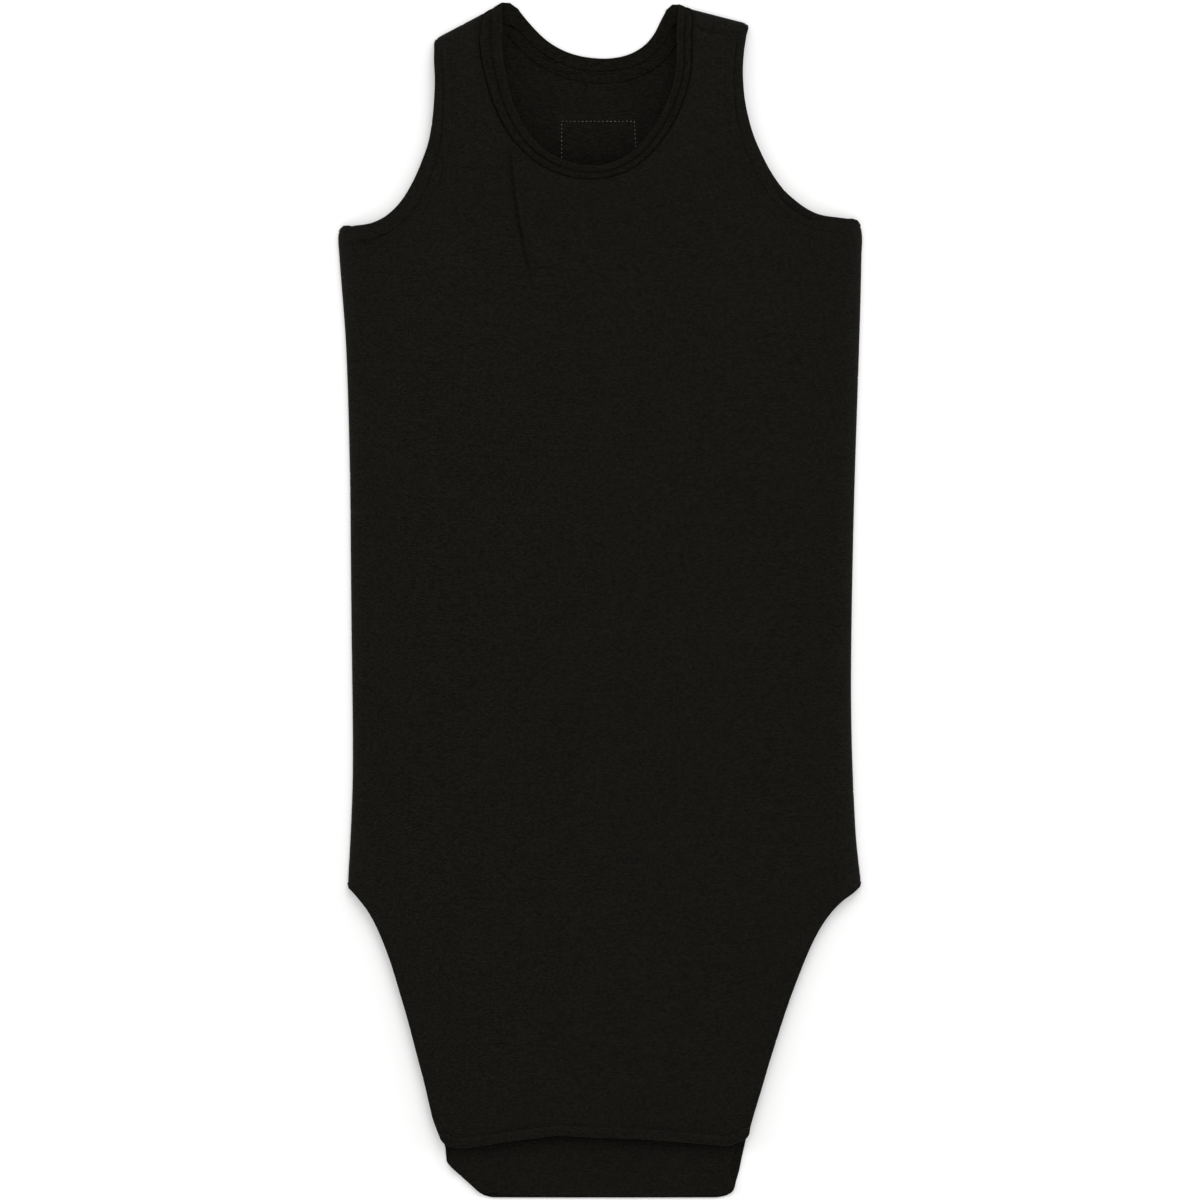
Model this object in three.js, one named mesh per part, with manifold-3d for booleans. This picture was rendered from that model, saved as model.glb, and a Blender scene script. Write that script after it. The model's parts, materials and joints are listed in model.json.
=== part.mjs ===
// Sleeveless leotard in jersey knit, laid out flat with its front up.
// Millimetres. +X is the wearer's left, +Y is towards the neck, +Z is up from the surface it lies on.
// The origin is below the middle of the garment, on that surface.
import * as THREE from 'three';
import { mergeVertices } from 'three/addons/utils/BufferGeometryUtils.js';
import Module from 'manifold-3d';

// ---- driving dimensions ----
const clothThickness = 0.8;
const facingThickness = 0.5;
const allowanceThickness = 1;
const layerGap = 0.15; // between two layers of cloth that lie on each other
const cutGap = 0.3; // between two edges that meet
const frontRise = 6.6; // underside of the front above the surface, away from the seams
const seamRise = 2.4; // underside of the front where it is sewn to the back
const roundOver = 24; // how far in from a seam the front takes to come up
const bandThickness = 1.5;
const backBandWidth = 7.2;
const neckTapeWidth = 7.8;
const neckTapeTopY = 374;
const armholeFacingWidth = 13;
const legFacingWidth = 11;
const joinInset = 0.6;
const seamAllowance = 6;
const seamLine = 0.6; // the allowance starts this far in from the sewn edge
const tailHingeY = -285; // the front bends across here when its loose end is lifted
const foldY = -389.6; // the bottom of the garment, where the back turns to the front
const flapEndY = -336; // the hidden end of the crotch flap
const facingEndY = -332; // the leg facings stop above the closure
const snapTape = { width: 14, inset: 1.5, thickness: 0.6, hole: 1.4, left: -86, right: 78 };
const snap = {
  spacing: 46, centreX: -4, inset: 8.5, segments: 20,
  discRadius: 4, discThickness: 0.3, stemRadius: 0.9, // the outer discs and the stems under them
};
const label = {
  x: -1.3, y: 291, width: 51, height: 46, thickness: 0.4, pocketSlack: 0.1,
  stitchInset: 1.8, thread: 0.4, threadRise: 0.05, threadThickness: 0.25,
};
const sideSeamSpan = { top: 224, bottom: -168 };
const shoulderSeamSpan = [0.34, 0.62]; // shares of the way from the armhole to the neck
const flapCornerSpan = { top: -381, aboveFold: 1.3 };

// ---- heights of the layers in the closure, from the surface up ----
const flapZ = 1.1;
const postZ = 2;
const postTopZ = 4.3;
const flapTapeZ = 2.4;
const studZ = 3.1;
const studTopZ = 4.9;
const socketZ = 4.1;
const capStemZ = 5.15;
const socketTopZ = 5.35;
const tailTapeZ = 5.45;
const capZ = 6.15;

const black = '#17160f';
const threadGrey = '#8a8a86';
const snapMetal = '#2b2b2c';

// ---- edges of the garment as it lies: each runs from the neck down ----
const rightSide = {
  inward: 1, // the cloth is on the left hand of these edges
  shoulder: [[-107.5, 365.5], [-62, 390]],
  armhole: [
    [-107.5, 365.5], [-108, 352], [-107.4, 338], [-108.5, 318], [-111.2, 300], [-115.7, 286.5],
    [-121.5, 273], [-129, 260.5], [-137, 252], [-145, 247], [-154, 244.4], [-167, 243.4],
  ],
  seam: [
    [-170.5, 238], [-169, 215], [-165.6, 172], [-163.6, 120], [-162.4, 60], [-162, 0],
    [-161, -70], [-161, -120], [-162.9, -165], [-164, -184],
  ],
  leg: [
    [-163.4, -187.5], [-160, -191.5], [-153, -200], [-147.5, -209], [-142, -221], [-136, -237],
    [-130.7, -254.6], [-125, -274], [-119, -297], [-113.5, -318], [-108.8, -338], [-103.5, -351.5],
  ],
  corner: [
    [-101.4, -357.5], [-100.7, -364], [-99.4, -368], [-91, -375.2], [-85.7, -379.8], [-80.5, -385],
    [-75.5, -388.3], [-70, foldY],
  ],
  flap: [[-93, flapEndY], [-96, -355], [-98.6, -365], [-97.6, -369.4]],
};
const leftSide = {
  inward: -1,
  shoulder: [[96.6, 375.4], [50, 388.4]],
  armhole: [
    [96.6, 375.4], [93.8, 359], [92.9, 342], [94.5, 324], [98.8, 306], [104, 293], [110.6, 280],
    [118.5, 268.5], [127, 260.3], [136, 254], [144.5, 250.6], [154, 249.2], [167, 247.6],
  ],
  seam: [
    [170.5, 239], [170, 215], [168.6, 160], [166.6, 105], [165, 50], [163.8, -10],
    [163.4, -60], [164.2, -105], [166.6, -155], [169.8, -183],
  ],
  leg: [
    [169, -186.5], [165.3, -190.6], [158, -196], [151, -203], [144.5, -212], [138.5, -223],
    [132.4, -237], [126, -253.5], [119.5, -272], [111.5, -297], [105, -319], [99, -339], [96.2, -350],
  ],
  corner: [[93, -363], [91, -372], [89, -378.5], [87, -385], [82.5, -388.3], [76, foldY]],
  flap: [[90.5, flapEndY], [89.3, -353.4], [86.4, -363.2], [84.2, -372.5], [86, -380]],
};
const sides = { left: leftSide, right: rightSide };

// lower edge of the front, across the crotch
const frontEdge = [
  [-100, -354.8], [-89, -356.2], [-75, -354.4], [-57, -351.6], [-40, -349.5], [-28, -348.2],
  [0, -349.4], [24, -350.3], [50, -352.2], [78, -354.4], [83.5, -354.9],
];

// the neckline: the open edge of the band, and the seam that joins the band to the cloth
const frontOpening = [
  [-62, 387.4], [-64.2, 376], [-64.2, 354], [-59, 331], [-47.9, 308.7], [-32.9, 293.2], [-16, 285],
  [-2.9, 283.3], [9.5, 285.6], [21.8, 292.6], [34.2, 305.4], [43.5, 319.5], [49.2, 336], [50.6, 354],
  [50.4, 386.4],
];
const frontSeam = [
  [-76.6, 381.6], [-78.6, 363.5], [-74.6, 340.7], [-67.4, 318.5], [-55.7, 298.8], [-39.8, 284],
  [-21, 276], [-2.9, 274.2], [14, 277.6], [29.6, 287.5], [44, 305], [54.2, 325.7], [59, 345],
  [59.6, 366], [60.2, 384.7],
];
const backOpening = [
  [-55.7, 387.6], [-51, 381.5], [-44, 373.3], [-36.2, 365.6], [-28.4, 360.3], [-20, 356.4],
  [-10, 353.8], [3, 352.7], [14, 354], [22.5, 357], [30.3, 362.4], [36, 369.5], [40, 377.6],
  [45.6, 387.8],
];
const neckPeaks = [
  [[-75, 382.1], [-62.4, 378], [-52, 383], [-55.2, 388.2], [-62.2, 389.4]],
  [[40, 378], [50.2, 380], [59.4, 378], [59.8, 384.8], [50, 387.4], [44.5, 388]],
];

// ---- curves in the plane ----
const toVector = ([x, y]) => new THREE.Vector2(x, y);
const reversed = (curve) => [...curve].reverse();
const outline = (...curves) => new THREE.Shape(curves.flat());

function smooth(points, perSpan = 2) {
  return new THREE.SplineCurve(points.map(toVector)).getPoints((points.length - 1) * perSpan);
}

// the same curve a distance away on its left hand
function offset(curve, distance) {
  return curve.map((point, i) => {
    const before = curve[Math.max(i - 1, 0)];
    const after = curve[Math.min(i + 1, curve.length - 1)];
    const along = after.clone().sub(before).normalize();
    return new THREE.Vector2(point.x - along.y * distance, point.y + along.x * distance);
  });
}

const strip = (curve, from, to) => outline(offset(curve, from), reversed(offset(curve, to)));

// x where a curve that runs downwards crosses a height, held at its two ends
function crossing(points, y) {
  const below = points.findIndex((point) => point[1] <= y);
  if (below === 0) return points[0][0];
  if (below < 0) return points[points.length - 1][0];
  const [x0, y0] = points[below - 1];
  const [x1, y1] = points[below];
  return THREE.MathUtils.mapLinear(y, y0, y1, x0, x1);
}

// height of the sewn shoulder at x, carried straight across the neck from strap to strap
function shoulderY(x) {
  const { left, right } = sides;
  let line = [right.shoulder[1], left.shoulder[1]];
  if (x < right.shoulder[1][0]) line = right.shoulder;
  if (x > left.shoulder[1][0]) line = left.shoulder;
  const [[x0, y0], [x1, y1]] = line;
  return THREE.MathUtils.mapLinear(x, x0, x1, y0, y1);
}

// ---- solids ----
const wasm = await Module();
wasm.setup();

function toSolid(geometry) {
  geometry.deleteAttribute('normal');
  geometry.deleteAttribute('uv');
  const merged = mergeVertices(geometry, 1e-4);
  return new wasm.Manifold(new wasm.Mesh({
    numProp: 3,
    vertProperties: new Float32Array(merged.attributes.position.array),
    triVerts: new Uint32Array(merged.index.array),
  }));
}

function toGeometry(solid) {
  const mesh = solid.getMesh();
  const geometry = new THREE.BufferGeometry();
  geometry.setAttribute('position', new THREE.BufferAttribute(new Float32Array(mesh.vertProperties), 3));
  geometry.setIndex(new THREE.BufferAttribute(new Uint32Array(mesh.triVerts), 1));
  geometry.computeVertexNormals();
  return geometry;
}

function plate(shape, z, thickness) {
  const slab = new THREE.ExtrudeGeometry(shape, { depth: thickness, bevelEnabled: false });
  return toSolid(slab.translate(0, 0, z));
}

// The front layer is one surface: a grid whose columns follow the side seams and whose upper rows
// follow the shoulders, and which rounds down to both. Each piece of that layer is cut from it.
const columnInsets = [0, 3, 7, 12, 17, roundOver];
const middleColumns = [-107, rightSide.shoulder[1][0], -6, leftSide.shoulder[1][0], 96];
const rowHeights = [-290, -240, -205, -186, -165, -100, -30, 40, 110, 180, 225, 250, 275, 300];
const shoulderInsets = [roundOver, 17, 12, 7, 3, 0, -3];
const columns = 2 * columnInsets.length + middleColumns.length - 1;
const rows = rowHeights.length + shoulderInsets.length - 1;
const clear = 20; // taller than anything here

function gridX(column, y) {
  const low = crossing(rightSide.seam, y);
  const high = crossing(leftSide.seam, y);
  if (column < columnInsets.length) return low + columnInsets[column];
  if (column > columns - columnInsets.length) return high - columnInsets[columns - column];
  return middleColumns[column - columnInsets.length];
}

function frontHeight(x, y) {
  const fromSides = Math.min(x - crossing(rightSide.seam, y), crossing(leftSide.seam, y) - x);
  const inside = Math.min(fromSides, shoulderY(x) - y);
  const share = THREE.MathUtils.clamp(inside / roundOver, 0, 1);
  return seamRise + (frontRise - seamRise) * Math.sin(share * Math.PI / 2);
}

function frontSlab(above, thickness) {
  const box = new THREE.BoxGeometry(1, 1, 1, columns, rows, 1);
  const position = box.attributes.position;
  for (let i = 0; i < position.count; i++) {
    const row = Math.round((position.getY(i) + 0.5) * rows);
    const upper = row - rowHeights.length;
    const level = rowHeights[Math.min(row, rowHeights.length - 1)];
    const x = gridX(Math.round((position.getX(i) + 0.5) * columns), level);
    const y = upper < 0 ? level : shoulderY(x) - shoulderInsets[upper];
    const top = position.getZ(i) > 0 ? thickness : 0;
    position.setXYZ(i, x, y, frontHeight(x, y) + above + top);
  }
  return toSolid(box);
}

function frontPiece(shape, above, thickness) {
  return frontSlab(above, thickness).intersect(plate(shape, 0, clear));
}

// fills the space from a height up to a level measured from the front layer
function bridge(shape, z, above) {
  return frontSlab(above - clear, clear).intersect(plate(shape, z, clear));
}

const leotard = new THREE.Group();

function add(name, solid, color = black, roughness = 0.9, metalness = 0) {
  const geometry = solid.isBufferGeometry ? solid : toGeometry(solid);
  const mesh = new THREE.Mesh(geometry, new THREE.MeshStandardMaterial({ color, roughness, metalness }));
  mesh.name = name;
  leotard.add(mesh);
}

// ---- body cloth ----
const curves = {};
for (const [name, side] of Object.entries(sides)) {
  curves[name] = [...smooth(side.armhole), ...smooth(side.seam), ...smooth(side.leg)];
}
const atHinge = (y) => [rightSide, leftSide].map((side) => toVector([crossing(side.leg, y), y]));
const aboveHinge = (point) => point.y > tailHingeY + 1;
const belowHinge = (point) => point.y < tailHingeY - 1;
const backBandSeam = offset(smooth(backOpening), -backBandWidth);

const frontShape = outline(
  curves.right.filter(aboveHinge),
  atHinge(tailHingeY + cutGap / 2),
  reversed(curves.left.filter(aboveHinge)),
  reversed(offset(smooth(frontSeam), -cutGap)),
);
add('front_panel', frontPiece(frontShape, 0, clothThickness));

const backNeck = offset(backBandSeam, -cutGap).filter((point) => point.y < shoulderY(point.x) - 0.5);
const backShape = outline(
  curves.right, smooth(rightSide.corner), reversed(smooth(leftSide.corner)), reversed(curves.left),
  reversed(backNeck),
);

function labelPlate(inset, z, thickness) {
  const box = new THREE.BoxGeometry(label.width - 2 * inset, label.height - 2 * inset, thickness);
  return toSolid(box.translate(label.x, label.y, z + thickness / 2));
}
const labelPocket = labelPlate(-cutGap, -label.thickness, 2 * label.thickness + label.pocketSlack);
add('back_panel', plate(backShape, 0, clothThickness).subtract(labelPocket));
add('label_patch', labelPlate(0, 0, label.thickness), '#1b1a15', 0.8);

const stitchZ = clothThickness + label.threadRise;
const stitchRing = labelPlate(label.stitchInset, stitchZ, label.threadThickness)
  .subtract(labelPlate(label.stitchInset + label.thread, 0, clear));
add('label_stitching', stitchRing, threadGrey, 0.6);

// ---- neck: a band sewn round the opening, and the tape over its seam at the back ----
let neckBand = frontPiece(outline(smooth(frontSeam), reversed(smooth(frontOpening))), 0, bandThickness);
neckBand = neckBand.add(plate(outline(smooth(backOpening), reversed(backBandSeam)), 0, bandThickness));
for (const peak of neckPeaks) {
  const shape = outline(peak.map(toVector));
  neckBand = neckBand.add(bridge(shape, clothThickness + cutGap, bandThickness - cutGap));
}
add('neck_band', neckBand, '#15140f');

const onBack = clothThickness + layerGap;
const tapeEdge = offset(backBandSeam, -cutGap).filter((point) => point.y < neckTapeTopY);
add('back_neck_tape', plate(strip(tapeEdge, 0, -neckTapeWidth), onBack, facingThickness));

// ---- facings turned to the inside round the armholes and legs ----
function facing(name, side, front, back, width, joins) {
  function cut(edge, inset = 0) {
    return strip(edge, side.inward * (cutGap + inset), side.inward * (width - inset));
  }
  let solid = frontPiece(cut(front), -layerGap - facingThickness, facingThickness);
  solid = solid.add(plate(cut(back), onBack, facingThickness));
  for (const join of joins) {
    const middle = facingThickness / 2; // a join ends inside both strips, not on their faces
    solid = solid.add(bridge(cut(join, joinInset), onBack + middle, -layerGap - middle));
  }
  add(name, solid);
}
for (const [name, side] of Object.entries(sides)) {
  const armhole = smooth(side.armhole).filter((point) => point.y < shoulderY(point.x) - 2);
  const ends = [armhole.slice(0, 2), armhole.slice(-2)];
  facing(`${name}_armhole_facing`, side, armhole, armhole, armholeFacingWidth, ends);

  const leg = smooth(side.leg).slice(1);
  const back = leg.filter((point) => point.y > facingEndY);
  facing(`${name}_leg_facing`, side, leg.filter(aboveHinge), back, legFacingWidth, [leg.slice(0, 2)]);
}

// ---- shoulder and side seams: the sewn-together allowances inside ----
function allowance(name, points, inward) {
  add(name, plate(strip(points, inward * seamLine, inward * seamAllowance), onBack, allowanceThickness));
}
for (const [name, side] of Object.entries(sides)) {
  const [outer, inner] = side.shoulder.map(toVector);
  const shoulder = shoulderSeamSpan.map((share) => outer.clone().lerp(inner, share));
  allowance(`${name}_shoulder_seam`, shoulder, -side.inward);
  const { top, bottom } = sideSeamSpan;
  const seam = smooth(side.seam).filter((point) => point.y < top && point.y > bottom);
  allowance(`${name}_side_seam`, seam, side.inward);
}

// ---- loose end of the front ----
const hem = smooth(frontEdge);
const tailShape = outline(
  atHinge(tailHingeY - cutGap / 2).slice(0, 1),
  curves.right.filter(belowHinge), hem, reversed(curves.left.filter(belowHinge)),
  atHinge(tailHingeY - cutGap / 2).slice(1),
);
add('front_tail_panel', plate(tailShape, frontRise, clothThickness));

for (const [name, side] of Object.entries(sides)) {
  const leg = smooth(side.leg).filter((point) => belowHinge(point) && point.y > facingEndY);
  const shape = strip(leg, side.inward * cutGap, side.inward * legFacingWidth);
  add(`${name}_tail_facing`, plate(shape, frontRise - layerGap - facingThickness, facingThickness));
}

// ---- crotch flap: the back carried round the bottom fold ----
function flapCorner(side) {
  const { top, aboveFold } = flapCornerSpan;
  return smooth(side.corner).filter((point) => point.y < top && point.y > foldY + aboveFold);
}
const flapShape = outline(
  smooth(rightSide.flap), flapCorner(rightSide),
  reversed(flapCorner(leftSide)), reversed(smooth(leftSide.flap)),
);
add('crotch_flap_panel', plate(flapShape, flapZ, clothThickness));

// ---- closure: two tapes with three press studs between them ----
const snapPlaces = [-1, 0, 1].map((step) => {
  const x = snap.centreX + step * snap.spacing;
  const nearest = hem.reduce((best, point) => (Math.abs(point.x - x) < Math.abs(best.x - x) ? point : best));
  return { x, y: nearest.y + snap.inset };
});

function turned(profile, place) {
  const closed = [...profile, profile[0]].map(toVector);
  return new THREE.LatheGeometry(closed, snap.segments).rotateX(Math.PI / 2).translate(place.x, place.y, 0);
}
function disc(radius, place) {
  const circle = new THREE.CylinderGeometry(radius, radius, clear, snap.segments);
  return toSolid(circle.rotateX(Math.PI / 2).translate(place.x, place.y, 0));
}
function tape(name, z) {
  const edge = hem.filter((point) => point.x > snapTape.left && point.x < snapTape.right);
  let solid = plate(strip(edge, snapTape.inset, snapTape.inset + snapTape.width), z, snapTape.thickness);
  for (const place of snapPlaces) solid = solid.subtract(disc(snapTape.hole, place));
  add(name, solid, '#141311');
}
tape('front_snap_tape', tailTapeZ);
tape('flap_snap_tape', flapTapeZ);

// radius and height of each turned piece, anticlockwise round its section
const { discRadius, discThickness, stemRadius } = snap;
const capProfile = [
  [0, capStemZ], [stemRadius, capStemZ], [stemRadius, capZ], [discRadius, capZ],
  [discRadius, capZ + discThickness], [0, capZ + discThickness],
];
const socketProfile = [
  [2.15, socketZ], [4.4, socketZ], [4.75, 4.45], [4.75, 5.1], [4.4, socketTopZ], [1.2, socketTopZ],
  [1.2, 5.05], [2.15, 5.05],
];
const studProfile = [
  [1.15, studZ], [4.5, studZ], [4.5, 3.5], [4.2, 3.7], [1.5, 3.7], [1.8, 4.3], [1.7, 4.7],
  [1.2, studTopZ], [0, studTopZ], [0, 4.5], [1.15, 4.5],
];
const postProfile = [
  [0, postZ], [discRadius, postZ], [discRadius, postZ + discThickness],
  [stemRadius, postZ + discThickness], [stemRadius, postTopZ], [0, postTopZ],
];

snapPlaces.forEach((place, i) => {
  add(`snap_cap_${i + 1}`, turned(capProfile, place), snapMetal, 0.4, 0.8);
  add(`snap_socket_${i + 1}`, turned(socketProfile, place), snapMetal, 0.4, 0.8);
  add(`snap_stud_${i + 1}`, turned(studProfile, place), snapMetal, 0.4, 0.8);
  add(`snap_post_${i + 1}`, turned(postProfile, place), snapMetal, 0.4, 0.8);
});

export default leotard;
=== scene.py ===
# A black jersey leotard laid out flat on a pale floor, seen from straight above.
import json
import math

import bmesh
import bpy
import numpy as np
from mathutils import Matrix, Vector, noise
from mathutils.bvhtree import BVHTree
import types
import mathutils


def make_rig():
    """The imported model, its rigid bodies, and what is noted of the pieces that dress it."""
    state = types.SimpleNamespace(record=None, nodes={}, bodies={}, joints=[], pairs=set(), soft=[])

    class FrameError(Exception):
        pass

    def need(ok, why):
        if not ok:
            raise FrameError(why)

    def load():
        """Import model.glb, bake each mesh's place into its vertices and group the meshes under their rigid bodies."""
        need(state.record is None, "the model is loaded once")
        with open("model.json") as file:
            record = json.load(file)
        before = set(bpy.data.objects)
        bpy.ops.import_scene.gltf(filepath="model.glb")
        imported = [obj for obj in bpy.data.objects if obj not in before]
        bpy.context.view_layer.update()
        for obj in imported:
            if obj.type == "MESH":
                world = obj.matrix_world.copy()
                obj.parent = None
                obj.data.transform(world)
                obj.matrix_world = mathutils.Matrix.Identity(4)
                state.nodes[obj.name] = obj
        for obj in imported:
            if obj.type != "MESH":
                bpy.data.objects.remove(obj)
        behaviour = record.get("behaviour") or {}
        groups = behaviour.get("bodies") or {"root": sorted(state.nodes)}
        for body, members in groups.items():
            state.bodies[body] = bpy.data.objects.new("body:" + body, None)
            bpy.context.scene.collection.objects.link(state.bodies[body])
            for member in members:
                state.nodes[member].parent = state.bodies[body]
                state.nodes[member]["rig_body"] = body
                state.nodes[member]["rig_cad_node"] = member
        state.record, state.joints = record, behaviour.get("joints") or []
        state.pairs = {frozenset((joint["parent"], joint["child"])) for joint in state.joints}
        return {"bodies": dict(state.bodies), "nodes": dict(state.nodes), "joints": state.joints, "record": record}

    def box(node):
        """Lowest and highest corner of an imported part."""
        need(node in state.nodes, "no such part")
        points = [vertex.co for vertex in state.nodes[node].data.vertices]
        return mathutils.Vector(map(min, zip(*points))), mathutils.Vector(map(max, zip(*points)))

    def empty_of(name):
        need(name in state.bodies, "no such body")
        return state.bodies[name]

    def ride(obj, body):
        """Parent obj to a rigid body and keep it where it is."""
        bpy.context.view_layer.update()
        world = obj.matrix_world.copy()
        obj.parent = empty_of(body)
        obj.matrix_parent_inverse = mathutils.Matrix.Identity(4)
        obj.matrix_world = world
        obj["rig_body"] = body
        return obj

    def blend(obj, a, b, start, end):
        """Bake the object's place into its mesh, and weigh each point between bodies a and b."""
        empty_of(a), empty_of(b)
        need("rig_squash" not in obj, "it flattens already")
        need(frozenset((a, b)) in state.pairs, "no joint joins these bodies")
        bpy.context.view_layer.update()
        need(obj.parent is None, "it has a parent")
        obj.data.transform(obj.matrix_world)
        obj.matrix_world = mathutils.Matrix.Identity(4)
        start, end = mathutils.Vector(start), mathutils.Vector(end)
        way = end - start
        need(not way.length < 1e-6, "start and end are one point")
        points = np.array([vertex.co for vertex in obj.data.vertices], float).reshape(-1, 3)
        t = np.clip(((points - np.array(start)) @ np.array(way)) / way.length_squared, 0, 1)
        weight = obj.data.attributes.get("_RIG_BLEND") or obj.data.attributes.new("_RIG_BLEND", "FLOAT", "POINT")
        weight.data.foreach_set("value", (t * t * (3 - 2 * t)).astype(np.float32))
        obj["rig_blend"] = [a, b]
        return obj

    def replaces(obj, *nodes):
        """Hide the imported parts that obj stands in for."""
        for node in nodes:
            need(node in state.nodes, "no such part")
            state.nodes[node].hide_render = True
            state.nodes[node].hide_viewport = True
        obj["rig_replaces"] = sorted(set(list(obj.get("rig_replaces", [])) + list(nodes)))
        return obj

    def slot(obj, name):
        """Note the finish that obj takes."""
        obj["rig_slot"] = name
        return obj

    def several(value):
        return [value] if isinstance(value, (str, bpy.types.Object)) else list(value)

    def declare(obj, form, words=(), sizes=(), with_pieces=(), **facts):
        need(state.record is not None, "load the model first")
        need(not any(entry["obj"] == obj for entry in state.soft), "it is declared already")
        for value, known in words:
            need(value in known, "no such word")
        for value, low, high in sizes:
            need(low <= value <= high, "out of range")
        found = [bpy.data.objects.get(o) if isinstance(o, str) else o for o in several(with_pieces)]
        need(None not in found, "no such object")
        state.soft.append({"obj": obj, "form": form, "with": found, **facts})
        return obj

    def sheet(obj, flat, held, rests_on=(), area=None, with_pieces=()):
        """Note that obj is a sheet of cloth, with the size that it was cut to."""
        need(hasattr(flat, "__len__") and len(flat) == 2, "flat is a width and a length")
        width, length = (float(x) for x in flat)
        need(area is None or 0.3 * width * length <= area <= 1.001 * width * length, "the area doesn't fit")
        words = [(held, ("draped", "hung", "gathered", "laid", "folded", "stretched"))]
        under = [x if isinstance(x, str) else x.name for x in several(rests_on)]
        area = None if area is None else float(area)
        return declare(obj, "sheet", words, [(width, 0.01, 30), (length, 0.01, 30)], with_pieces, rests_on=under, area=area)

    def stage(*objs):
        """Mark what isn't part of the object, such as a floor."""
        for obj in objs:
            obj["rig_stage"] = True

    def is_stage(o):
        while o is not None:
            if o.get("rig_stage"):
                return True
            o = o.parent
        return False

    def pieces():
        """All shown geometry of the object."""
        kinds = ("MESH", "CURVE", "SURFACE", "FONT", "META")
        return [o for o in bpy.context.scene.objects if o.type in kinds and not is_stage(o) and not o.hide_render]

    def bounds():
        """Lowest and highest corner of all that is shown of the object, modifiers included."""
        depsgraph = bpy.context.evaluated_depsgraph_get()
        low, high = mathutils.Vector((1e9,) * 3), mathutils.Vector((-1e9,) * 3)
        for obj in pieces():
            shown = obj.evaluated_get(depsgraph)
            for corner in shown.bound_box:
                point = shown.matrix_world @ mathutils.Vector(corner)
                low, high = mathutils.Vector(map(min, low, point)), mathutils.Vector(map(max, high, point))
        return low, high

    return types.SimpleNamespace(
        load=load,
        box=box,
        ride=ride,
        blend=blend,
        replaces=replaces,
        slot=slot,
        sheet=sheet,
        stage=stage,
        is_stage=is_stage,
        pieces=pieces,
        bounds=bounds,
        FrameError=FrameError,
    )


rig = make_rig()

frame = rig.load()
cadLow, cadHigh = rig.bounds()
mm = 0.001
print("frame loaded:", len(frame["nodes"]), "nodes")

# ---------- camera and studio ----------
view = {"height": 6.0, "level": 0.003, "frameWidth": 0.7824, "sensor": 36.0}
studio = {
    "floorSize": 14.0, "floorLevel": -0.3 * mm, "floorColor": (0.93, 0.93, 0.925, 1.0), "world": 0.82,
    "lamps": {
        "key": {"size": 2.0, "power": 24.0, "place": (0.5, 2.0, 2.0)},
        "left": {"size": 0.9, "power": 22.0, "place": (-2.0, 0.1, 0.46)},
        "right": {"size": 0.9, "power": 22.0, "place": (2.0, 0.1, 0.46)},
    },
}

scene = bpy.context.scene
scene.view_settings.view_transform = "Standard"

cameraData = bpy.data.cameras.new("camera")
cameraData.sensor_width = view["sensor"]
cameraData.lens = view["sensor"] * (view["height"] - view["level"]) / view["frameWidth"]
camera = bpy.data.objects.new("camera", cameraData)
camera.location = (0.0, 0.0, view["height"])
scene.collection.objects.link(camera)
scene.camera = camera

world = bpy.data.worlds.new("studio")
world.use_nodes = True
sky = world.node_tree.nodes["Background"].inputs
sky["Color"].default_value = (1.0, 1.0, 1.0, 1.0)
sky["Strength"].default_value = studio["world"]
scene.world = world


def softbox(name, settings):
    data = bpy.data.lights.new(name, "AREA")
    data.shape = "DISK"
    data.size = settings["size"]
    data.energy = settings["power"]
    lamp = bpy.data.objects.new(name, data)
    lamp.location = settings["place"]
    lamp.rotation_euler = (-lamp.location).to_track_quat("-Z", "Y").to_euler()  # aimed at the origin
    lamp.visible_camera = False
    scene.collection.objects.link(lamp)


for lampName, settings in studio["lamps"].items():
    softbox(lampName, settings)


# ---------- small helpers ----------
def newObject(name, bm, material=None, smooth=True):
    mesh = bpy.data.meshes.new(name)
    bm.to_mesh(mesh)
    bm.free()
    made = bpy.data.objects.new(name, mesh)
    scene.collection.objects.link(made)
    if material:
        mesh.materials.append(material)
    if smooth:
        mesh.polygons.foreach_set("use_smooth", [True] * len(mesh.polygons))
    return made


def applyModifiers(obj):
    evaluated = obj.evaluated_get(bpy.context.evaluated_depsgraph_get())
    made = bpy.data.meshes.new_from_object(evaluated)
    obj.modifiers.clear()
    obj.data = made


def solidify(obj, thickness, offset=0.0):
    modifier = obj.modifiers.new("thickness", "SOLIDIFY")
    modifier.thickness = thickness
    modifier.offset = offset
    modifier.use_even_offset = False
    applyModifiers(obj)
    obj.data.polygons.foreach_set("use_smooth", [True] * len(obj.data.polygons))


def ease(value):
    value = np.clip(value, 0.0, 1.0)
    return value * value * (3.0 - 2.0 * value)


def lengthOf(line):
    return np.linalg.norm(np.diff(np.asarray(line), axis=0), axis=1).sum()


# how far each point is from a line of points, and how far along the line its nearest place is
def nearest(points, line):
    points, line = np.asarray(points)[:, :2], np.asarray(line)[:, :2]
    starts, steps = line[:-1], line[1:] - line[:-1]
    lengths = np.maximum(np.linalg.norm(steps, axis=1), 1e-9)
    before = np.concatenate([[0.0], np.cumsum(lengths)[:-1]])
    best, along = np.full(len(points), 1e9), np.zeros(len(points))
    for start, step, length, run in zip(starts, steps, lengths, before):
        share = np.clip((points - start) @ step / length**2, 0.0, 1.0)
        gap = np.linalg.norm(points - start - share[:, None] * step, axis=1)
        closer = gap < best
        best[closer], along[closer] = gap[closer], run + share[closer] * length
    return best, along


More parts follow.
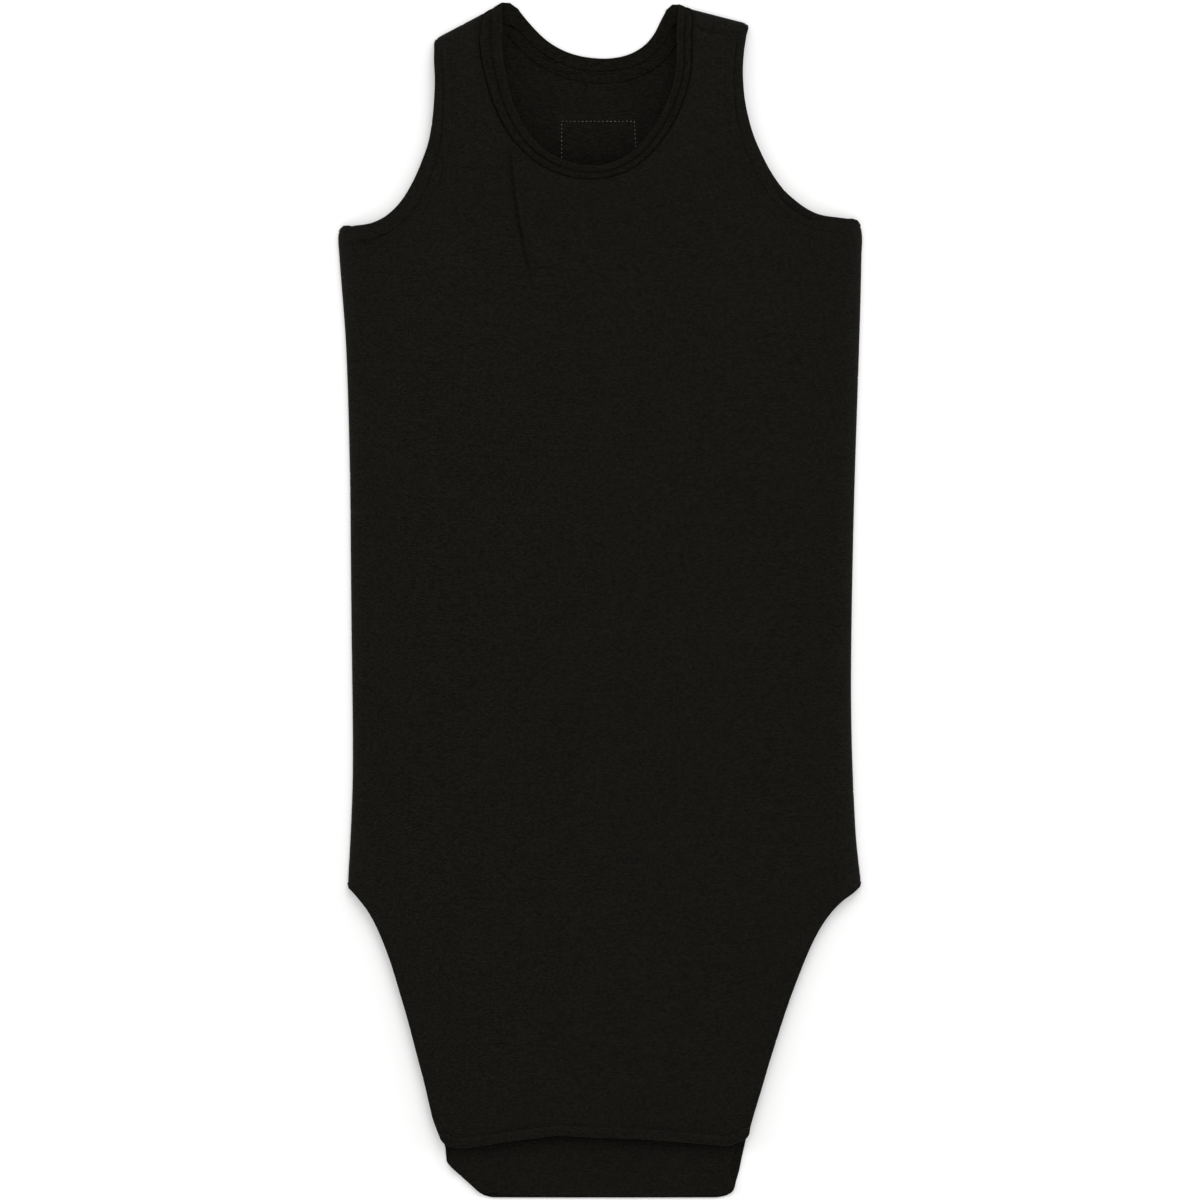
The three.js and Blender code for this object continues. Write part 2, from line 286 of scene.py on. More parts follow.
# ---------- outlines, read from the flat tops of the frame's own panels ----------
marks = {  # corners of the garment in millimetres: x is mirrored by side, y is not
    "right": {"neck": (-76.8, 382.2), "strap": (-107.5, 365.5), "underarm": (-169.5, 240.5),
              "hip": (-164, -186), "hem": (-102.5, -352.5), "fold": (-70, -389.6)},
    "left": {"neck": (60.2, 385.2), "strap": (96.6, 375.4), "underarm": (169.5, 243.5),
             "hip": (169.6, -185), "hem": (96.2, -350), "fold": (76, -389.6)},
}
hingeY = frame["joints"][0]["pos_m"][1]


def outlineOf(nodeName):
    bm = bmesh.new()
    bm.from_mesh(frame["nodes"][nodeName].data)
    bmesh.ops.remove_doubles(bm, verts=bm.verts, dist=1e-5)
    bm.normal_update()
    bmesh.ops.delete(bm, geom=[f for f in bm.faces if f.normal.z < 0.3], context="FACES")
    rim = {}
    for edge in bm.edges:
        if len(edge.link_faces) == 1:
            loop = edge.link_faces[0].loops
            corner = next(item for item in loop if item.edge == edge)
            rim[corner.vert.index] = (corner.link_loop_next.vert.index, corner.vert.co.xy.copy())
    first = max(rim, key=lambda index: rim[index][1].y)
    ordered, index = [], first
    while True:
        following, place = rim[index]
        ordered.append(place)
        index = following
        if index == first or index not in rim or len(ordered) > len(rim):
            break
    bm.free()
    points = [np.array(p) for p in ordered]
    kept = []
    for i, point in enumerate(points):
        before = point - points[i - 1]
        after = points[(i + 1) % len(points)] - point
        turn = abs(before[0] * after[1] - before[1] * after[0])
        if turn > 1e-4 * np.linalg.norm(before) * np.linalg.norm(after):
            kept.append(point)
    return kept


# the same loop without the stretch that lies on a height, opened there
def openedAt(loop, y):
    kept = [p for p in loop if abs(p[1] - y) > 0.4 * mm]
    gaps = [np.linalg.norm(kept[i] - kept[i - 1]) for i in range(len(kept))]
    start = int(np.argmax(gaps))
    return kept[start:] + kept[:start]


def nearestTo(loop, place):
    return min(range(len(loop)), key=lambda i: np.linalg.norm(loop[i] - np.array(place) * mm))


# a finer loop through the same points, bent smoothly everywhere but at the sharp corners
def smoothLoop(loop, sharp, rounded=(), spacing=2.4 * mm, roundReach=4.2 * mm):
    count = len(loop)
    corners = {nearestTo(loop, place) for place in sharp}
    made = []
    for i in range(count):
        a, b = loop[i], loop[(i + 1) % count]
        length = np.linalg.norm(b - a)
        straight = (b - a) / length
        leave = straight if i in corners else b - loop[i - 1]
        arrive = straight if (i + 1) % count in corners else loop[(i + 2) % count] - a
        leave = leave / np.linalg.norm(leave) * length
        arrive = arrive / np.linalg.norm(arrive) * length
        steps = max(1, round(length / spacing))
        for step in range(steps):
            t = step / steps
            made.append(
                (2 * t**3 - 3 * t**2 + 1) * a + (t**3 - 2 * t**2 + t) * leave
                + (3 * t**2 - 2 * t**3) * b + (t**3 - t**2) * arrive
            )
    for corner in rounded:
        center = np.array(corner) * mm
        nearCorner = [i for i, point in enumerate(made) if np.linalg.norm(point - center) < roundReach]
        for _ in range(2):
            made = [
                0.5 * p + 0.25 * (made[i - 1] + made[(i + 1) % len(made)]) if i in nearCorner else p
                for i, p in enumerate(made)
            ]
    return made


# the stretch of a loop between two corners, the shorter way round
def chain(loop, start, end):
    pick = [nearestTo(loop, place) for place in (start, end)]
    ways = []
    for step in (1, -1):
        indices, i = [pick[0]], pick[0]
        while i != pick[1]:
            i = (i + step) % len(loop)
            indices.append(i)
        ways.append([loop[i] for i in indices])
    return np.array(min(ways, key=lengthOf))


necks, straps, hems = [[side[name] for side in marks.values()] for name in ("neck", "strap", "hem")]
frontOutline = openedAt(outlineOf("front_panel"), hingeY) + openedAt(outlineOf("front_tail_panel"), hingeY)
frontLoop = smoothLoop(frontOutline, necks + straps + hems, straps + hems)


# the same loop with one more corner, where it lengthens the loop least
def withCorner(loop, place):
    point = np.array(place) * mm
    detours = []
    for before, after in zip(loop[-1:] + loop[:-1], loop):
        detours.append(lengthOf([before, point, after]) - lengthOf([before, after]))
    best = int(np.argmin(detours))
    return loop[:best] + [point] + loop[best:]


backOutline = outlineOf("back_panel")
for neck in necks:
    backOutline = withCorner(backOutline, neck)
backLoop = smoothLoop(backOutline, straps + necks, straps)


def sideEdges(side):
    return {
        "shoulder": chain(frontLoop, side["neck"], side["strap"]),
        "armhole": chain(frontLoop, side["strap"], side["underarm"]),
        "seam": chain(frontLoop, side["underarm"], side["hip"]),
        "leg": chain(frontLoop, side["hip"], side["hem"]),
        "backLeg": chain(backLoop, side["hip"], side["fold"]),
    }


# open edges are drawn in by as much as their turned hems roll out again
def drawnIn(loop, lines, amount=0.65 * mm, fade=7 * mm, lastFade=7 * mm):
    points = np.array(loop)
    way = np.roll(points, -1, axis=0) - np.roll(points, 1, axis=0)
    inward = np.stack([-way[:, 1], way[:, 0]], axis=1) / np.linalg.norm(way, axis=1)[:, None]
    doubleArea = np.sum(points[:, 0] * np.roll(points[:, 1], -1) - np.roll(points[:, 0], -1) * points[:, 1])
    inward *= np.sign(doubleArea)
    moved = points.copy()
    for line in lines:
        gap, along = nearest(points, line)
        share = ease(along / fade) * ease((lengthOf(line) - along) / lastFade) * (gap < 0.3 * mm)
        moved += inward * (amount * share)[:, None]
    return list(moved)


edges = {name: sideEdges(side) for name, side in marks.items()}
frontLoop = drawnIn(frontLoop, [edges[name][part] for name in edges for part in ("armhole", "leg")])
backLoop = drawnIn(backLoop, [edges[name]["armhole"] for name in edges])
backLoop = drawnIn(backLoop, [edges[name]["backLeg"] for name in edges], lastFade=60 * mm)
edges = {name: sideEdges(side) for name, side in marks.items()}
hemLine = chain(frontLoop, marks["right"]["hem"], marks["left"]["hem"])
neckLine = chain(frontLoop, marks["right"]["neck"], marks["left"]["neck"])
seamLines = [edges[name][part] for name in edges for part in ("shoulder", "seam")]
print("outlines:", len(frontLoop), "front,", len(backLoop), "back")


# ---------- flat cloth: rows that follow the edge, a square grid inside them ----------
edgeRows = [1.6 * mm, 1.0 * mm, 0.5 * mm, 0.16 * mm, 0.0]  # distances from the edge
grid = {"shift": 0.37, "merge": 0.3 * mm, "smallest": 0.8 * mm, "freeGap": 0.4 * mm, "rollSteps": 6}
layerNames = ("outX", "outY", "inX", "inY", "rise")  # where each corner's row starts and ends, and its height


# one more row of faces out from the rim, each new corner where place() puts it
def growEdge(bm, rim, place):
    made = bmesh.ops.extrude_edge_only(bm, edges=rim)["geom"]
    grown = {item for item in made if isinstance(item, bmesh.types.BMVert)}
    for vert in grown:
        vert.co = place(vert)
    return [item for item in made if isinstance(item, bmesh.types.BMEdge) and set(item.verts) <= grown]


def flatCloth(loop, pitch):
    outer = np.array(loop)
    before = outer - np.roll(outer, 1, axis=0)
    after = np.roll(outer, -1, axis=0) - outer
    if np.sum(outer[:, 0] * after[:, 1] - outer[:, 1] * after[:, 0]) < 0:
        return flatCloth(loop[::-1], pitch)
    before /= np.linalg.norm(before, axis=1)[:, None]
    after /= np.linalg.norm(after, axis=1)[:, None]
    sides = [np.stack([-way[:, 1], way[:, 0]], axis=1) for way in (before, after)]
    inward = sides[0] + sides[1]
    inward /= np.linalg.norm(inward, axis=1)[:, None]
    stretch = 1.0 / np.clip(np.sum(inward * sides[0], axis=1), 0.6, 1.0)
    inner = outer + inward * stretch[:, None] * edgeRows[0]

    bm = bmesh.new()
    layers = {name: bm.verts.layers.float.new(name) for name in layerNames}
    verts = []
    for place, target in zip(inner, outer):
        vert = bm.verts.new((place[0], place[1], 0.0))
        vert[layers["outX"]], vert[layers["outY"]] = target
        verts.append(vert)
    bm.faces.new(verts)
    bm.normal_update()
    low, high = inner.min(axis=0), inner.max(axis=0)
    for axis, normal in ((1, (0, 1, 0)), (0, (1, 0, 0))):
        for step in range(1, int((high[axis] - low[axis]) / pitch) + 1):
            place = low[axis] + step * pitch - grid["shift"] * pitch
            everything = bm.verts[:] + bm.edges[:] + bm.faces[:]
            bmesh.ops.bisect_plane(
                bm, geom=everything, dist=1e-6, plane_co=(place, place, 0.0), plane_no=normal
            )
    bmesh.ops.remove_doubles(bm, verts=bm.verts, dist=grid["merge"])
    rim = [edge for edge in bm.edges if len(edge.link_faces) == 1]
    for vert in {v for edge in rim for v in edge.verts}:
        vert[layers["inX"]], vert[layers["inY"]] = vert.co.x, vert.co.y
    for row in edgeRows[1:]:
        share = 1.0 - row / edgeRows[0]

        def place(vert):
            inside = Vector((vert[layers["inX"]], vert[layers["inY"]], 0.0))
            return inside.lerp(Vector((vert[layers["outX"]], vert[layers["outY"]], 0.0)), share)

        rim = growEdge(bm, rim, place)
    return bm, layers, rim


# faces are split in two each way wherever near() is true
def refine(bm, near):
    points = np.array([v.co for v in bm.verts])
    bm.verts.index_update()
    close = near(points)
    chosen = [e for e in bm.edges if close[e.verts[0].index] and close[e.verts[1].index]]
    chosen = [e for e in chosen if len(e.link_faces) == 2 and e.calc_length() > grid["smallest"]]
    bmesh.ops.subdivide_edges(bm, edges=chosen, cuts=1, use_grid_fill=True)
    bmesh.ops.triangulate(bm, faces=[f for f in bm.faces if len(f.verts) > 4])


# the edge rolls over to the inside and runs a little way under
def turnUnder(bm, layers, rim, lines, roll, width, side):
    mid = np.array([(e.verts[0].co + e.verts[1].co) / 2 for e in rim])
    free = np.min([nearest(mid, line)[0] for line in lines], axis=0) < grid["freeGap"]
    rim = [edge for edge, isFree in zip(rim, free) if isFree]
    for vert in {v for edge in rim for v in edge.verts}:
        vert[layers["rise"]] = vert.co.z
    angles = np.linspace(0, math.pi, grid["rollSteps"])[1:]
    steps = [(roll * math.sin(angle), roll * (1 - math.cos(angle))) for angle in angles]
    steps += [(-width * share, 2 * roll) for share in (0.4, 1.0) if width]
    for out, drop in steps:

        def place(vert):
            edge = Vector((vert[layers["outX"]], vert[layers["outY"]]))
            way = (edge - Vector((vert[layers["inX"]], vert[layers["inY"]]))).normalized()
            return (*(edge + way * out), vert[layers["rise"]] + side * drop)

        rim = growEdge(bm, rim, place)


# a section carried along a row of stations, each given as its own points
def carried(stations, closedSection=False, closedPath=False):
    bm = bmesh.new()
    order = bm.verts.layers.int.new("order")
    verts = []
    for i, point in enumerate(stations[0]):
        vert = bm.verts.new(point)
        vert[order] = i
        verts.append(vert)
    rim = [bm.edges.new(pair) for pair in zip(verts, verts[1:])]
    if closedSection:
        rim.append(bm.edges.new((verts[-1], verts[0])))
    for station in list(stations[1:]) + ([stations[0]] if closedPath else []):
        rim = growEdge(bm, rim, lambda vert: station[vert[order]])
    if closedPath:
        bmesh.ops.remove_doubles(bm, verts=bm.verts, dist=1e-6)
    if closedSection and not closedPath:
        bmesh.ops.holes_fill(bm, edges=[e for e in bm.edges if len(e.link_faces) == 1])
    bmesh.ops.recalc_face_normals(bm, faces=bm.faces)
    return bm


def resampled(line, pitch):
    line = np.asarray(line)
    run = np.concatenate([[0.0], np.cumsum(np.linalg.norm(np.diff(line, axis=0), axis=1))])
    wanted = np.linspace(0.0, run[-1], max(2, round(run[-1] / pitch) + 1))
    return np.stack([np.interp(wanted, run, line[:, axis]) for axis in (0, 1)], axis=1)


def leftOf(line):
    way = np.gradient(np.asarray(line), axis=0)
    way /= np.linalg.norm(way, axis=1)[:, None]
    return np.stack([-way[:, 1], way[:, 0]], axis=1)


# ---------- shape of the front layer ----------
front = {
    "pitch": 3.0 * mm, "thickness": 0.8 * mm, "level": 6.9 * mm, "seam": 1.2 * mm, "roundOver": 14 * mm,
    "sag": 1.7 * mm, "sagStart": 14 * mm, "sagReach": 70 * mm,
    "roll": 0.55 * mm, "turnWidth": 4.0 * mm, "ripple": 0.22 * mm,
    "hemRidge": 0.75 * mm, "hemWidth": 5.2 * mm, "hemGroove": 0.8 * mm,
    "hemSlope": 1.2 * mm, "hemGrooveWidth": 0.7 * mm, "hemGrooveGap": 0.4 * mm,
    "ditch": 1.3 * mm, "ditchWidth": 1.5 * mm, "ditchFade": 8 * mm,
    "neckSwell": 6.0 * mm, "swellReach": 48 * mm, "swellFade": 34 * mm, "seamFade": 20 * mm,
    "seamPucker": 0.05 * mm, "pitchOfPucker": 1.6 * mm, "puckerReach": 5 * mm,
}
coverstitch = {  # distances from the armhole's edge, at the strap and at the underarm
    "nearTop": 4.6 * mm, "nearBottom": 9.4 * mm, "span": 4.4 * mm, "groove": 0.8 * mm, "half": 0.8 * mm,
    "pitch": 2.1 * mm, "slant": 1.3 * mm, "radius": 0.23 * mm, "row": 1.5 * mm, "first": 7 * mm, "last": 8 * mm,
    "pucker": 0.07 * mm, "pitchOfPucker": 3.4 * mm, "puckerReach": 4 * mm, "puckerPlace": 2 * mm,
    "afterGroove": 0.4 * mm, "liftAcross": 0.05 * mm, "liftRow": 0.09 * mm,
}
creases = [  # places in millimetres, then depth and half-width in millimetres
    {"points": [(-62, 312), (-59, 300), (-57, 278), (-54, 252), (-49, 225), (-43, 200), (-38, 180)],
     "depth": 1.7, "width": 1.9},
    {"points": [(-36, 266), (-24, 225), (-12, 184), (0, 135), (14, 104)], "depth": 0.4, "width": 5},
    {"points": [(119, 214), (124, 160), (126, 118), (124, 90)], "depth": 0.4, "width": 5},
    {"points": [(57, 287), (56, 266), (58, 248)], "depth": 0.8, "width": 3.5},
    {"points": [(61, 373), (70, 369.5), (84, 368)], "depth": 1.5, "width": 1.8},
    {"points": [(-95, 369), (-88, 367), (-80, 364)], "depth": 0.3, "width": 2.5},
    {"points": [(-166, 231), (-147, 234), (-137.5, 239.5), (-127, 248.5)], "depth": 1.1, "width": 1.7},
    {"points": [(109, 273), (121, 258.5), (134, 249.5), (156, 242)], "depth": 1.1, "width": 1.7},
]
armholes = {name: edges[name]["armhole"] for name in edges}
openEdges = [edges[name][part] for name in edges for part in ("armhole", "leg")] + [hemLine]


# the layer stands up from its seams in a quarter round, and swells a little towards the neck
def loft(points):
    toSeam = np.min([nearest(points, line)[0] for line in seamLines], axis=0)
    toEdge = np.min([nearest(points, line)[0] for line in openEdges + [neckLine]], axis=0)
    toEdge = np.minimum(toEdge, toSeam)
    share = np.clip(toSeam / front["roundOver"], 0.0, 1.0)
    height = front["seam"] + (front["level"] - front["seam"]) * np.sqrt(1.0 - (1.0 - share) ** 2)
    toNeck = nearest(points, neckLine)[0]
    height += front["neckSwell"] * (1.0 - ease(toNeck / front["swellReach"])) * ease(toSeam / front["swellFade"])
    return height, toSeam, toEdge


# the coverstitch lies further from the edge towards the underarm
def grooveDistance(share):
    return coverstitch["nearTop"] + (coverstitch["nearBottom"] - coverstitch["nearTop"]) * ease(share * 1.25)


def frontHeight(points):
    height, toSeam, toEdge = loft(points)
    height -= front["sag"] * ease((toEdge - front["sagStart"]) / front["sagReach"])
    free = ease(toSeam / front["seamFade"])  # nothing ripples where the cloth is held by a seam
    swell = np.array([
        noise.fractal((p[0] * 11, p[1] * 7, 2.0), 0.8, 2.0, 3) + 0.5 * noise.noise((p[0] * 45, p[1] * 9, 5.0))
        for p in points
    ])
    height += front["ripple"] * swell * free
    for crease in creases:
        line = np.array(crease["points"]) * mm
        gap, along = nearest(points, line)
        total = lengthOf(line)
        fade = ease(along / (0.3 * total)) * ease((total - along) / (0.45 * total))  # to nothing at both ends
        width = crease["width"] * mm
        shape = np.exp(-((gap / width) ** 2)) - 0.45 * np.exp(-(((gap - 2.2 * width) / width) ** 2))
        height -= crease["depth"] * mm * fade * shape
    for line in armholes.values():
        gap, along = nearest(points, line)
        place = grooveDistance(along / lengthOf(line))
        height -= coverstitch["groove"] * np.exp(-(((gap - place) / coverstitch["half"]) ** 2)) * free
        near = (gap - place - coverstitch["puckerPlace"]) / coverstitch["puckerReach"]
        pucker = np.sin(along / coverstitch["pitchOfPucker"]) * np.exp(-(near**2))
        height += coverstitch["pucker"] * pucker * free
    gap = nearest(points, hemLine)[0]
    pastHem = gap - front["hemWidth"]
    height += front["hemRidge"] * (1.0 - ease(pastHem / front["hemSlope"] + 0.5))
    height -= front["hemGroove"] * np.exp(-(((pastHem - front["hemGrooveGap"]) / front["hemGrooveWidth"]) ** 2))
    gap, along = nearest(points, neckLine)
    height -= front["ditch"] * np.exp(-((gap / front["ditchWidth"]) ** 2)) * ease(toSeam / front["ditchFade"])
    shift = 2 * noise.noise((3.0, 1.0, 0.0))
    pucker = np.sin(along / front["pitchOfPucker"] + shift) * np.exp(-((gap / front["puckerReach"]) ** 2))
    return height + front["seamPucker"] * pucker


# ---------- materials ----------
def newGroup(name, inputs, outputs):
    group = bpy.data.node_groups.new(name, "ShaderNodeTree")
    for label, kind, value in inputs:
        group.interface.new_socket(label, in_out="INPUT", socket_type=kind).default_value = value
    for label, kind in outputs:
        group.interface.new_socket(label, in_out="OUTPUT", socket_type=kind)
    return group, group.nodes.new("NodeGroupInput"), group.nodes.new("NodeGroupOutput")


def addNode(tree, kind, **settings):
    node = tree.nodes.new(kind)
    for key, value in settings.items():
        setattr(node, key, value)
    return node


# a socket takes either a plain value or a link from another socket
def feed(tree, sockets, values):
    for label, value in values.items():
        if isinstance(value, bpy.types.NodeSocket):
            tree.links.new(value, sockets[label])
        else:
            sockets[label].default_value = value


def mathNode(tree, operation, first, second=0.0, clamp=False):
    node = addNode(tree, "ShaderNodeMath", operation=operation, use_clamp=clamp)
    feed(tree, node.inputs, {0: first, 1: second})
    return node.outputs[0]


def noiseOf(tree, place, scale, stretch=(1, 1, 1), detail=2.0):
    mapping = addNode(tree, "ShaderNodeMapping")
    feed(tree, mapping.inputs, {"Vector": place, "Scale": stretch})
    made = addNode(tree, "ShaderNodeTexNoise")
    feed(tree, made.inputs, {
        "Vector": mapping.outputs["Vector"], "Scale": scale, "Detail": detail, "Roughness": 0.6,
    })
    return made.outputs["Fac"]


def mixedColor(tree, factor, dark, light):
    node = addNode(tree, "ShaderNodeMix", data_type="RGBA")
    feed(tree, node.inputs, {"Factor": factor, "A": dark, "B": light})
    return node.outputs["Result"]


def bumped(tree, height, distance, strength=1.0):
    node = addNode(tree, "ShaderNodeBump")
    feed(tree, node.inputs, {"Strength": strength, "Distance": distance, "Height": height})
    return node.outputs["Normal"]


# knitted cloth: columns of stitches, uneven yarn that shows as short level streaks, and stray fluff
yarn = {
    "noises": [  # scale, stretch, detail and share in the tone
        (1.0, (400, 1900, 400), 3.0, 0.6), (1.0, (90, 950, 90), 2.0, 0.12), (1700.0, (1, 1, 1), 2.0, 0.55),
    ],
    "middle": 0.635, "contrast": 7.4, "cloudScale": 16.0, "cloudShare": 0.2, "level": 0.45,
    "courses": 1.3, "loopBend": 2.6, "courseShare": 0.35, "loopHeight": 0.5, "yarnHeight": 1.3, "bump": 0.8,
    "roughnessShare": 0.25,
}


def knitGroup():
    group, source, result = newGroup(
        "knitCloth",
        [("Dark", "NodeSocketColor", (0.004, 0.004, 0.003, 1)),
         ("Light", "NodeSocketColor", (0.012, 0.011, 0.009, 1)),
         ("Streaks", "NodeSocketFloat", 1.0), ("Wales per metre", "NodeSocketFloat", 1100.0),
         ("Depth", "NodeSocketFloat", 0.0002), ("Roughness", "NodeSocketFloat", 0.9)],
        [("Color", "NodeSocketColor"), ("Roughness", "NodeSocketFloat"), ("Normal", "NodeSocketVector")],
    )
    given = source.outputs

    def node(operation, first, second=0.0, clamp=False):
        return mathNode(group, operation, first, second, clamp)

    place = addNode(group, "ShaderNodeTexCoord").outputs["Object"]
    parts = [node("MULTIPLY", noiseOf(group, place, *settings), share) for *settings, share in yarn["noises"]]
    cloud = noiseOf(group, place, yarn["cloudScale"], detail=3.0)
    mixed = node("ADD", node("ADD", parts[0], parts[1]), parts[2])
    centred = node("SUBTRACT", mixed, yarn["middle"])
    streaks = node("MULTIPLY", centred, node("MULTIPLY", given["Streaks"], yarn["contrast"]))
    clouds = node("MULTIPLY", node("SUBTRACT", cloud, 0.5), yarn["cloudShare"])
    tone = node("ADD", node("ADD", streaks, clouds), yarn["level"], clamp=True)

    split = addNode(group, "ShaderNodeSeparateXYZ")
    feed(group, split.inputs, {0: place})
    wales = given["Wales per metre"]
    across = node("MULTIPLY", node("MULTIPLY", split.outputs["X"], wales), math.tau)
    up = node("MULTIPLY", node("MULTIPLY", split.outputs["Y"], wales), math.tau * yarn["courses"])
    wale = node("ABSOLUTE", node("SINE", node("MULTIPLY", across, 0.5)))
    course = node("SINE", node("ADD", up, node("MULTIPLY", wale, yarn["loopBend"])))
    loops = node("ADD", wale, node("MULTIPLY", course, yarn["courseShare"]))
    height = node("ADD", node("MULTIPLY", loops, yarn["loopHeight"]), node("MULTIPLY", mixed, yarn["yarnHeight"]))
    uneven = node("MULTIPLY", centred, yarn["roughnessShare"])
    feed(group, result.inputs, {
        "Color": mixedColor(group, tone, given["Dark"], given["Light"]),
        "Roughness": node("ADD", given["Roughness"], uneven, clamp=True),
        "Normal": bumped(group, height, given["Depth"], yarn["bump"]),
    })
    return group


knitCloth = knitGroup()


def newMaterial(name, preview, specular, sheen=0.0, sheenRoughness=0.5):
    material = bpy.data.materials.new(name)
    material.use_nodes = True
    material.diffuse_color = (*preview, 1.0)
    tree = material.node_tree
    shader = tree.nodes["Principled BSDF"]
    feed(tree, shader.inputs, {
        "Specular IOR Level": specular, "Sheen Weight": sheen, "Sheen Roughness": sheenRoughness,
    })
    return material, tree, shader.inputs


def objectPlace(tree):
    return addNode(tree, "ShaderNodeTexCoord").outputs["Object"]


def knitMaterial(name, settings):
    material, tree, surface = newMaterial(
        name, settings["light"], settings["specular"], settings["sheen"], settings["sheenRoughness"]
    )
    knit = addNode(tree, "ShaderNodeGroup", node_tree=knitCloth)
    feed(tree, knit.inputs, {
        "Dark": (*settings["dark"], 1.0), "Light": (*settings["light"], 1.0), "Streaks": settings["streaks"],
        "Wales per metre": settings["wales"], "Depth": settings["depth"], "Roughness": settings["roughness"],
    })
    made = knit.outputs
    feed(tree, surface, {"Base Color": made["Color"], "Roughness": made["Roughness"], "Normal": made["Normal"]})
    return material


jersey = knitMaterial("blackJersey", {
    "dark": (0.0022, 0.0020, 0.0014), "light": (0.0084, 0.0079, 0.0060), "specular": 0.05, "sheen": 0.11,
    "sheenRoughness": 0.35, "streaks": 1.0, "wales": 1150.0, "depth": 0.00022, "roughness": 0.88,
})
bandCloth = knitMaterial("blackBinding", {
    "dark": (0.0021, 0.0019, 0.0013), "light": (0.0096, 0.0089, 0.0067), "specular": 0.03, "sheen": 0.02,
    "sheenRoughness": 0.35, "streaks": 0.7, "wales": 1300.0, "depth": 0.0002, "roughness": 0.9,
})


# woven goods: crossed waves on object coordinates, slanted in a twill
def wovenMaterial(name, dark, light, pitch, roughness, diagonal):
    material, tree, surface = newMaterial(name, light, 0.1, 0.02)
    place = objectPlace(tree)
    split = addNode(tree, "ShaderNodeSeparateXYZ")
    feed(tree, split.inputs, {0: place})
    x = mathNode(tree, "MULTIPLY", split.outputs["X"], math.tau / pitch)
    y = mathNode(tree, "MULTIPLY", split.outputs["Y"], math.tau / pitch)
    if diagonal:
        x = mathNode(tree, "ADD", x, y)
    weft = mathNode(tree, "SINE", mathNode(tree, "MULTIPLY", y, 1.6))
    weave = mathNode(tree, "MULTIPLY", mathNode(tree, "SINE", x), weft)
    fibre = noiseOf(tree, place, 900.0, detail=3.0)
    tone = mathNode(tree, "ADD", mathNode(tree, "MULTIPLY", weave, 0.25), fibre, clamp=True)
    feed(tree, surface, {
        "Base Color": mixedColor(tree, tone, (*dark, 1.0), (*light, 1.0)),
        "Roughness": mathNode(tree, "ADD", mathNode(tree, "MULTIPLY", fibre, 0.2), roughness - 0.1),
        "Normal": bumped(tree, weave, 0.15 * mm, 0.7),
    })
    return material


tapeWeave = wovenMaterial("twillTape", (0.003, 0.003, 0.0025), (0.012, 0.011, 0.010), 1.1 * mm, 0.82, True)
patchWeave = wovenMaterial("wovenPatch", (0.006, 0.0055, 0.005), (0.02, 0.019, 0.017), 0.7 * mm, 0.7, False)


def threadMaterial(name, dark, light, roughness):
    material, tree, surface = newMaterial(name, light, 0.06)
    place = objectPlace(tree)
    fibre = noiseOf(tree, place, 1500.0, detail=3.0)
    patchy = noiseOf(tree, place, 210.0)
    both = mathNode(tree, "ADD", fibre, patchy)
    tone = mathNode(tree, "MULTIPLY", both, mathNode(tree, "POWER", patchy, 1.2), clamp=True)
    feed(tree, surface, {
        "Base Color": mixedColor(tree, tone, (*dark, 1.0), (*light, 1.0)), "Roughness": roughness,
        "Normal": bumped(tree, fibre, 0.08 * mm),
    })
    return material


blackThread = threadMaterial("blackThread", (0.0020, 0.0019, 0.0015), (0.0165, 0.0155, 0.0128), 0.85)
greyThread = threadMaterial("greyThread", (0.015, 0.015, 0.0145), (0.3, 0.3, 0.29), 0.6)


def snapMaterial():
    material, tree, surface = newMaterial("moulded", (0.02, 0.02, 0.02), 0.5)
    place = objectPlace(tree)
    grain = noiseOf(tree, place, 1400.0, detail=4.0)
    wear = noiseOf(tree, place, 260.0, detail=3.0)
    feed(tree, surface, {
        "Base Color": mixedColor(tree, wear, (0.011, 0.011, 0.012, 1.0), (0.034, 0.034, 0.035, 1.0)),
        "Roughness": mathNode(tree, "ADD", mathNode(tree, "MULTIPLY", grain, 0.3), 0.22),
        "Normal": bumped(tree, grain, 0.05 * mm, 0.25),
    })
    return material


snapPlastic = snapMaterial()
print("materials ready")


# a flat sheet is raised to its heights, turned under along its free edges and given its thickness
def laidCloth(name, bm, layers, rim, heightAt, freeEdges, settings, side):
    area = sum(face.calc_area() for face in bm.faces)
    for vert, height in zip(bm.verts, heightAt(np.array([v.co for v in bm.verts]))):
        vert.co.z = height
    turnUnder(bm, layers, rim, freeEdges, settings["roll"], settings["turnWidth"], side)
    piece = newObject(name, bm, jersey)
    solidify(piece, settings["thickness"])
    print(name + ":", len(piece.data.polygons), "faces, flat area", round(area, 4))
    return piece, round(area, 4)


# ---------- front cloth ----------
hingeReach = 15 * mm
hingeStart, hingeEnd = (0.0, hingeY + hingeReach, 0.0), (0.0, hingeY - hingeReach, 0.0)
bm, layers, rim = flatCloth(frontLoop, front["pitch"])
fine = [  # lines that need a finer grid, and how near to them it is split, once and again, in millimetres
    (np.array(creases[0]["points"]) * mm, 6, 3.2), (np.array(creases[4]["points"]) * mm, 4, 2),
    (armholes["right"], 14, 11), (armholes["left"], 14, 11), (hemLine, 9, 7.5), (neckLine, 6, 2.6),
]
for turn in (1, 2):
    refine(bm, lambda points: np.any([nearest(points, row[0])[0] < row[turn] * mm for row in fine], axis=0))
frontCloth, frontArea = laidCloth("frontCloth", bm, layers, rim, frontHeight, openEdges, front, -1)
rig.blend(frontCloth, "torso", "front_tail", start=hingeStart, end=hingeEnd)
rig.replaces(frontCloth, "front_panel", "front_tail_panel")
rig.slot(frontCloth, "jersey")


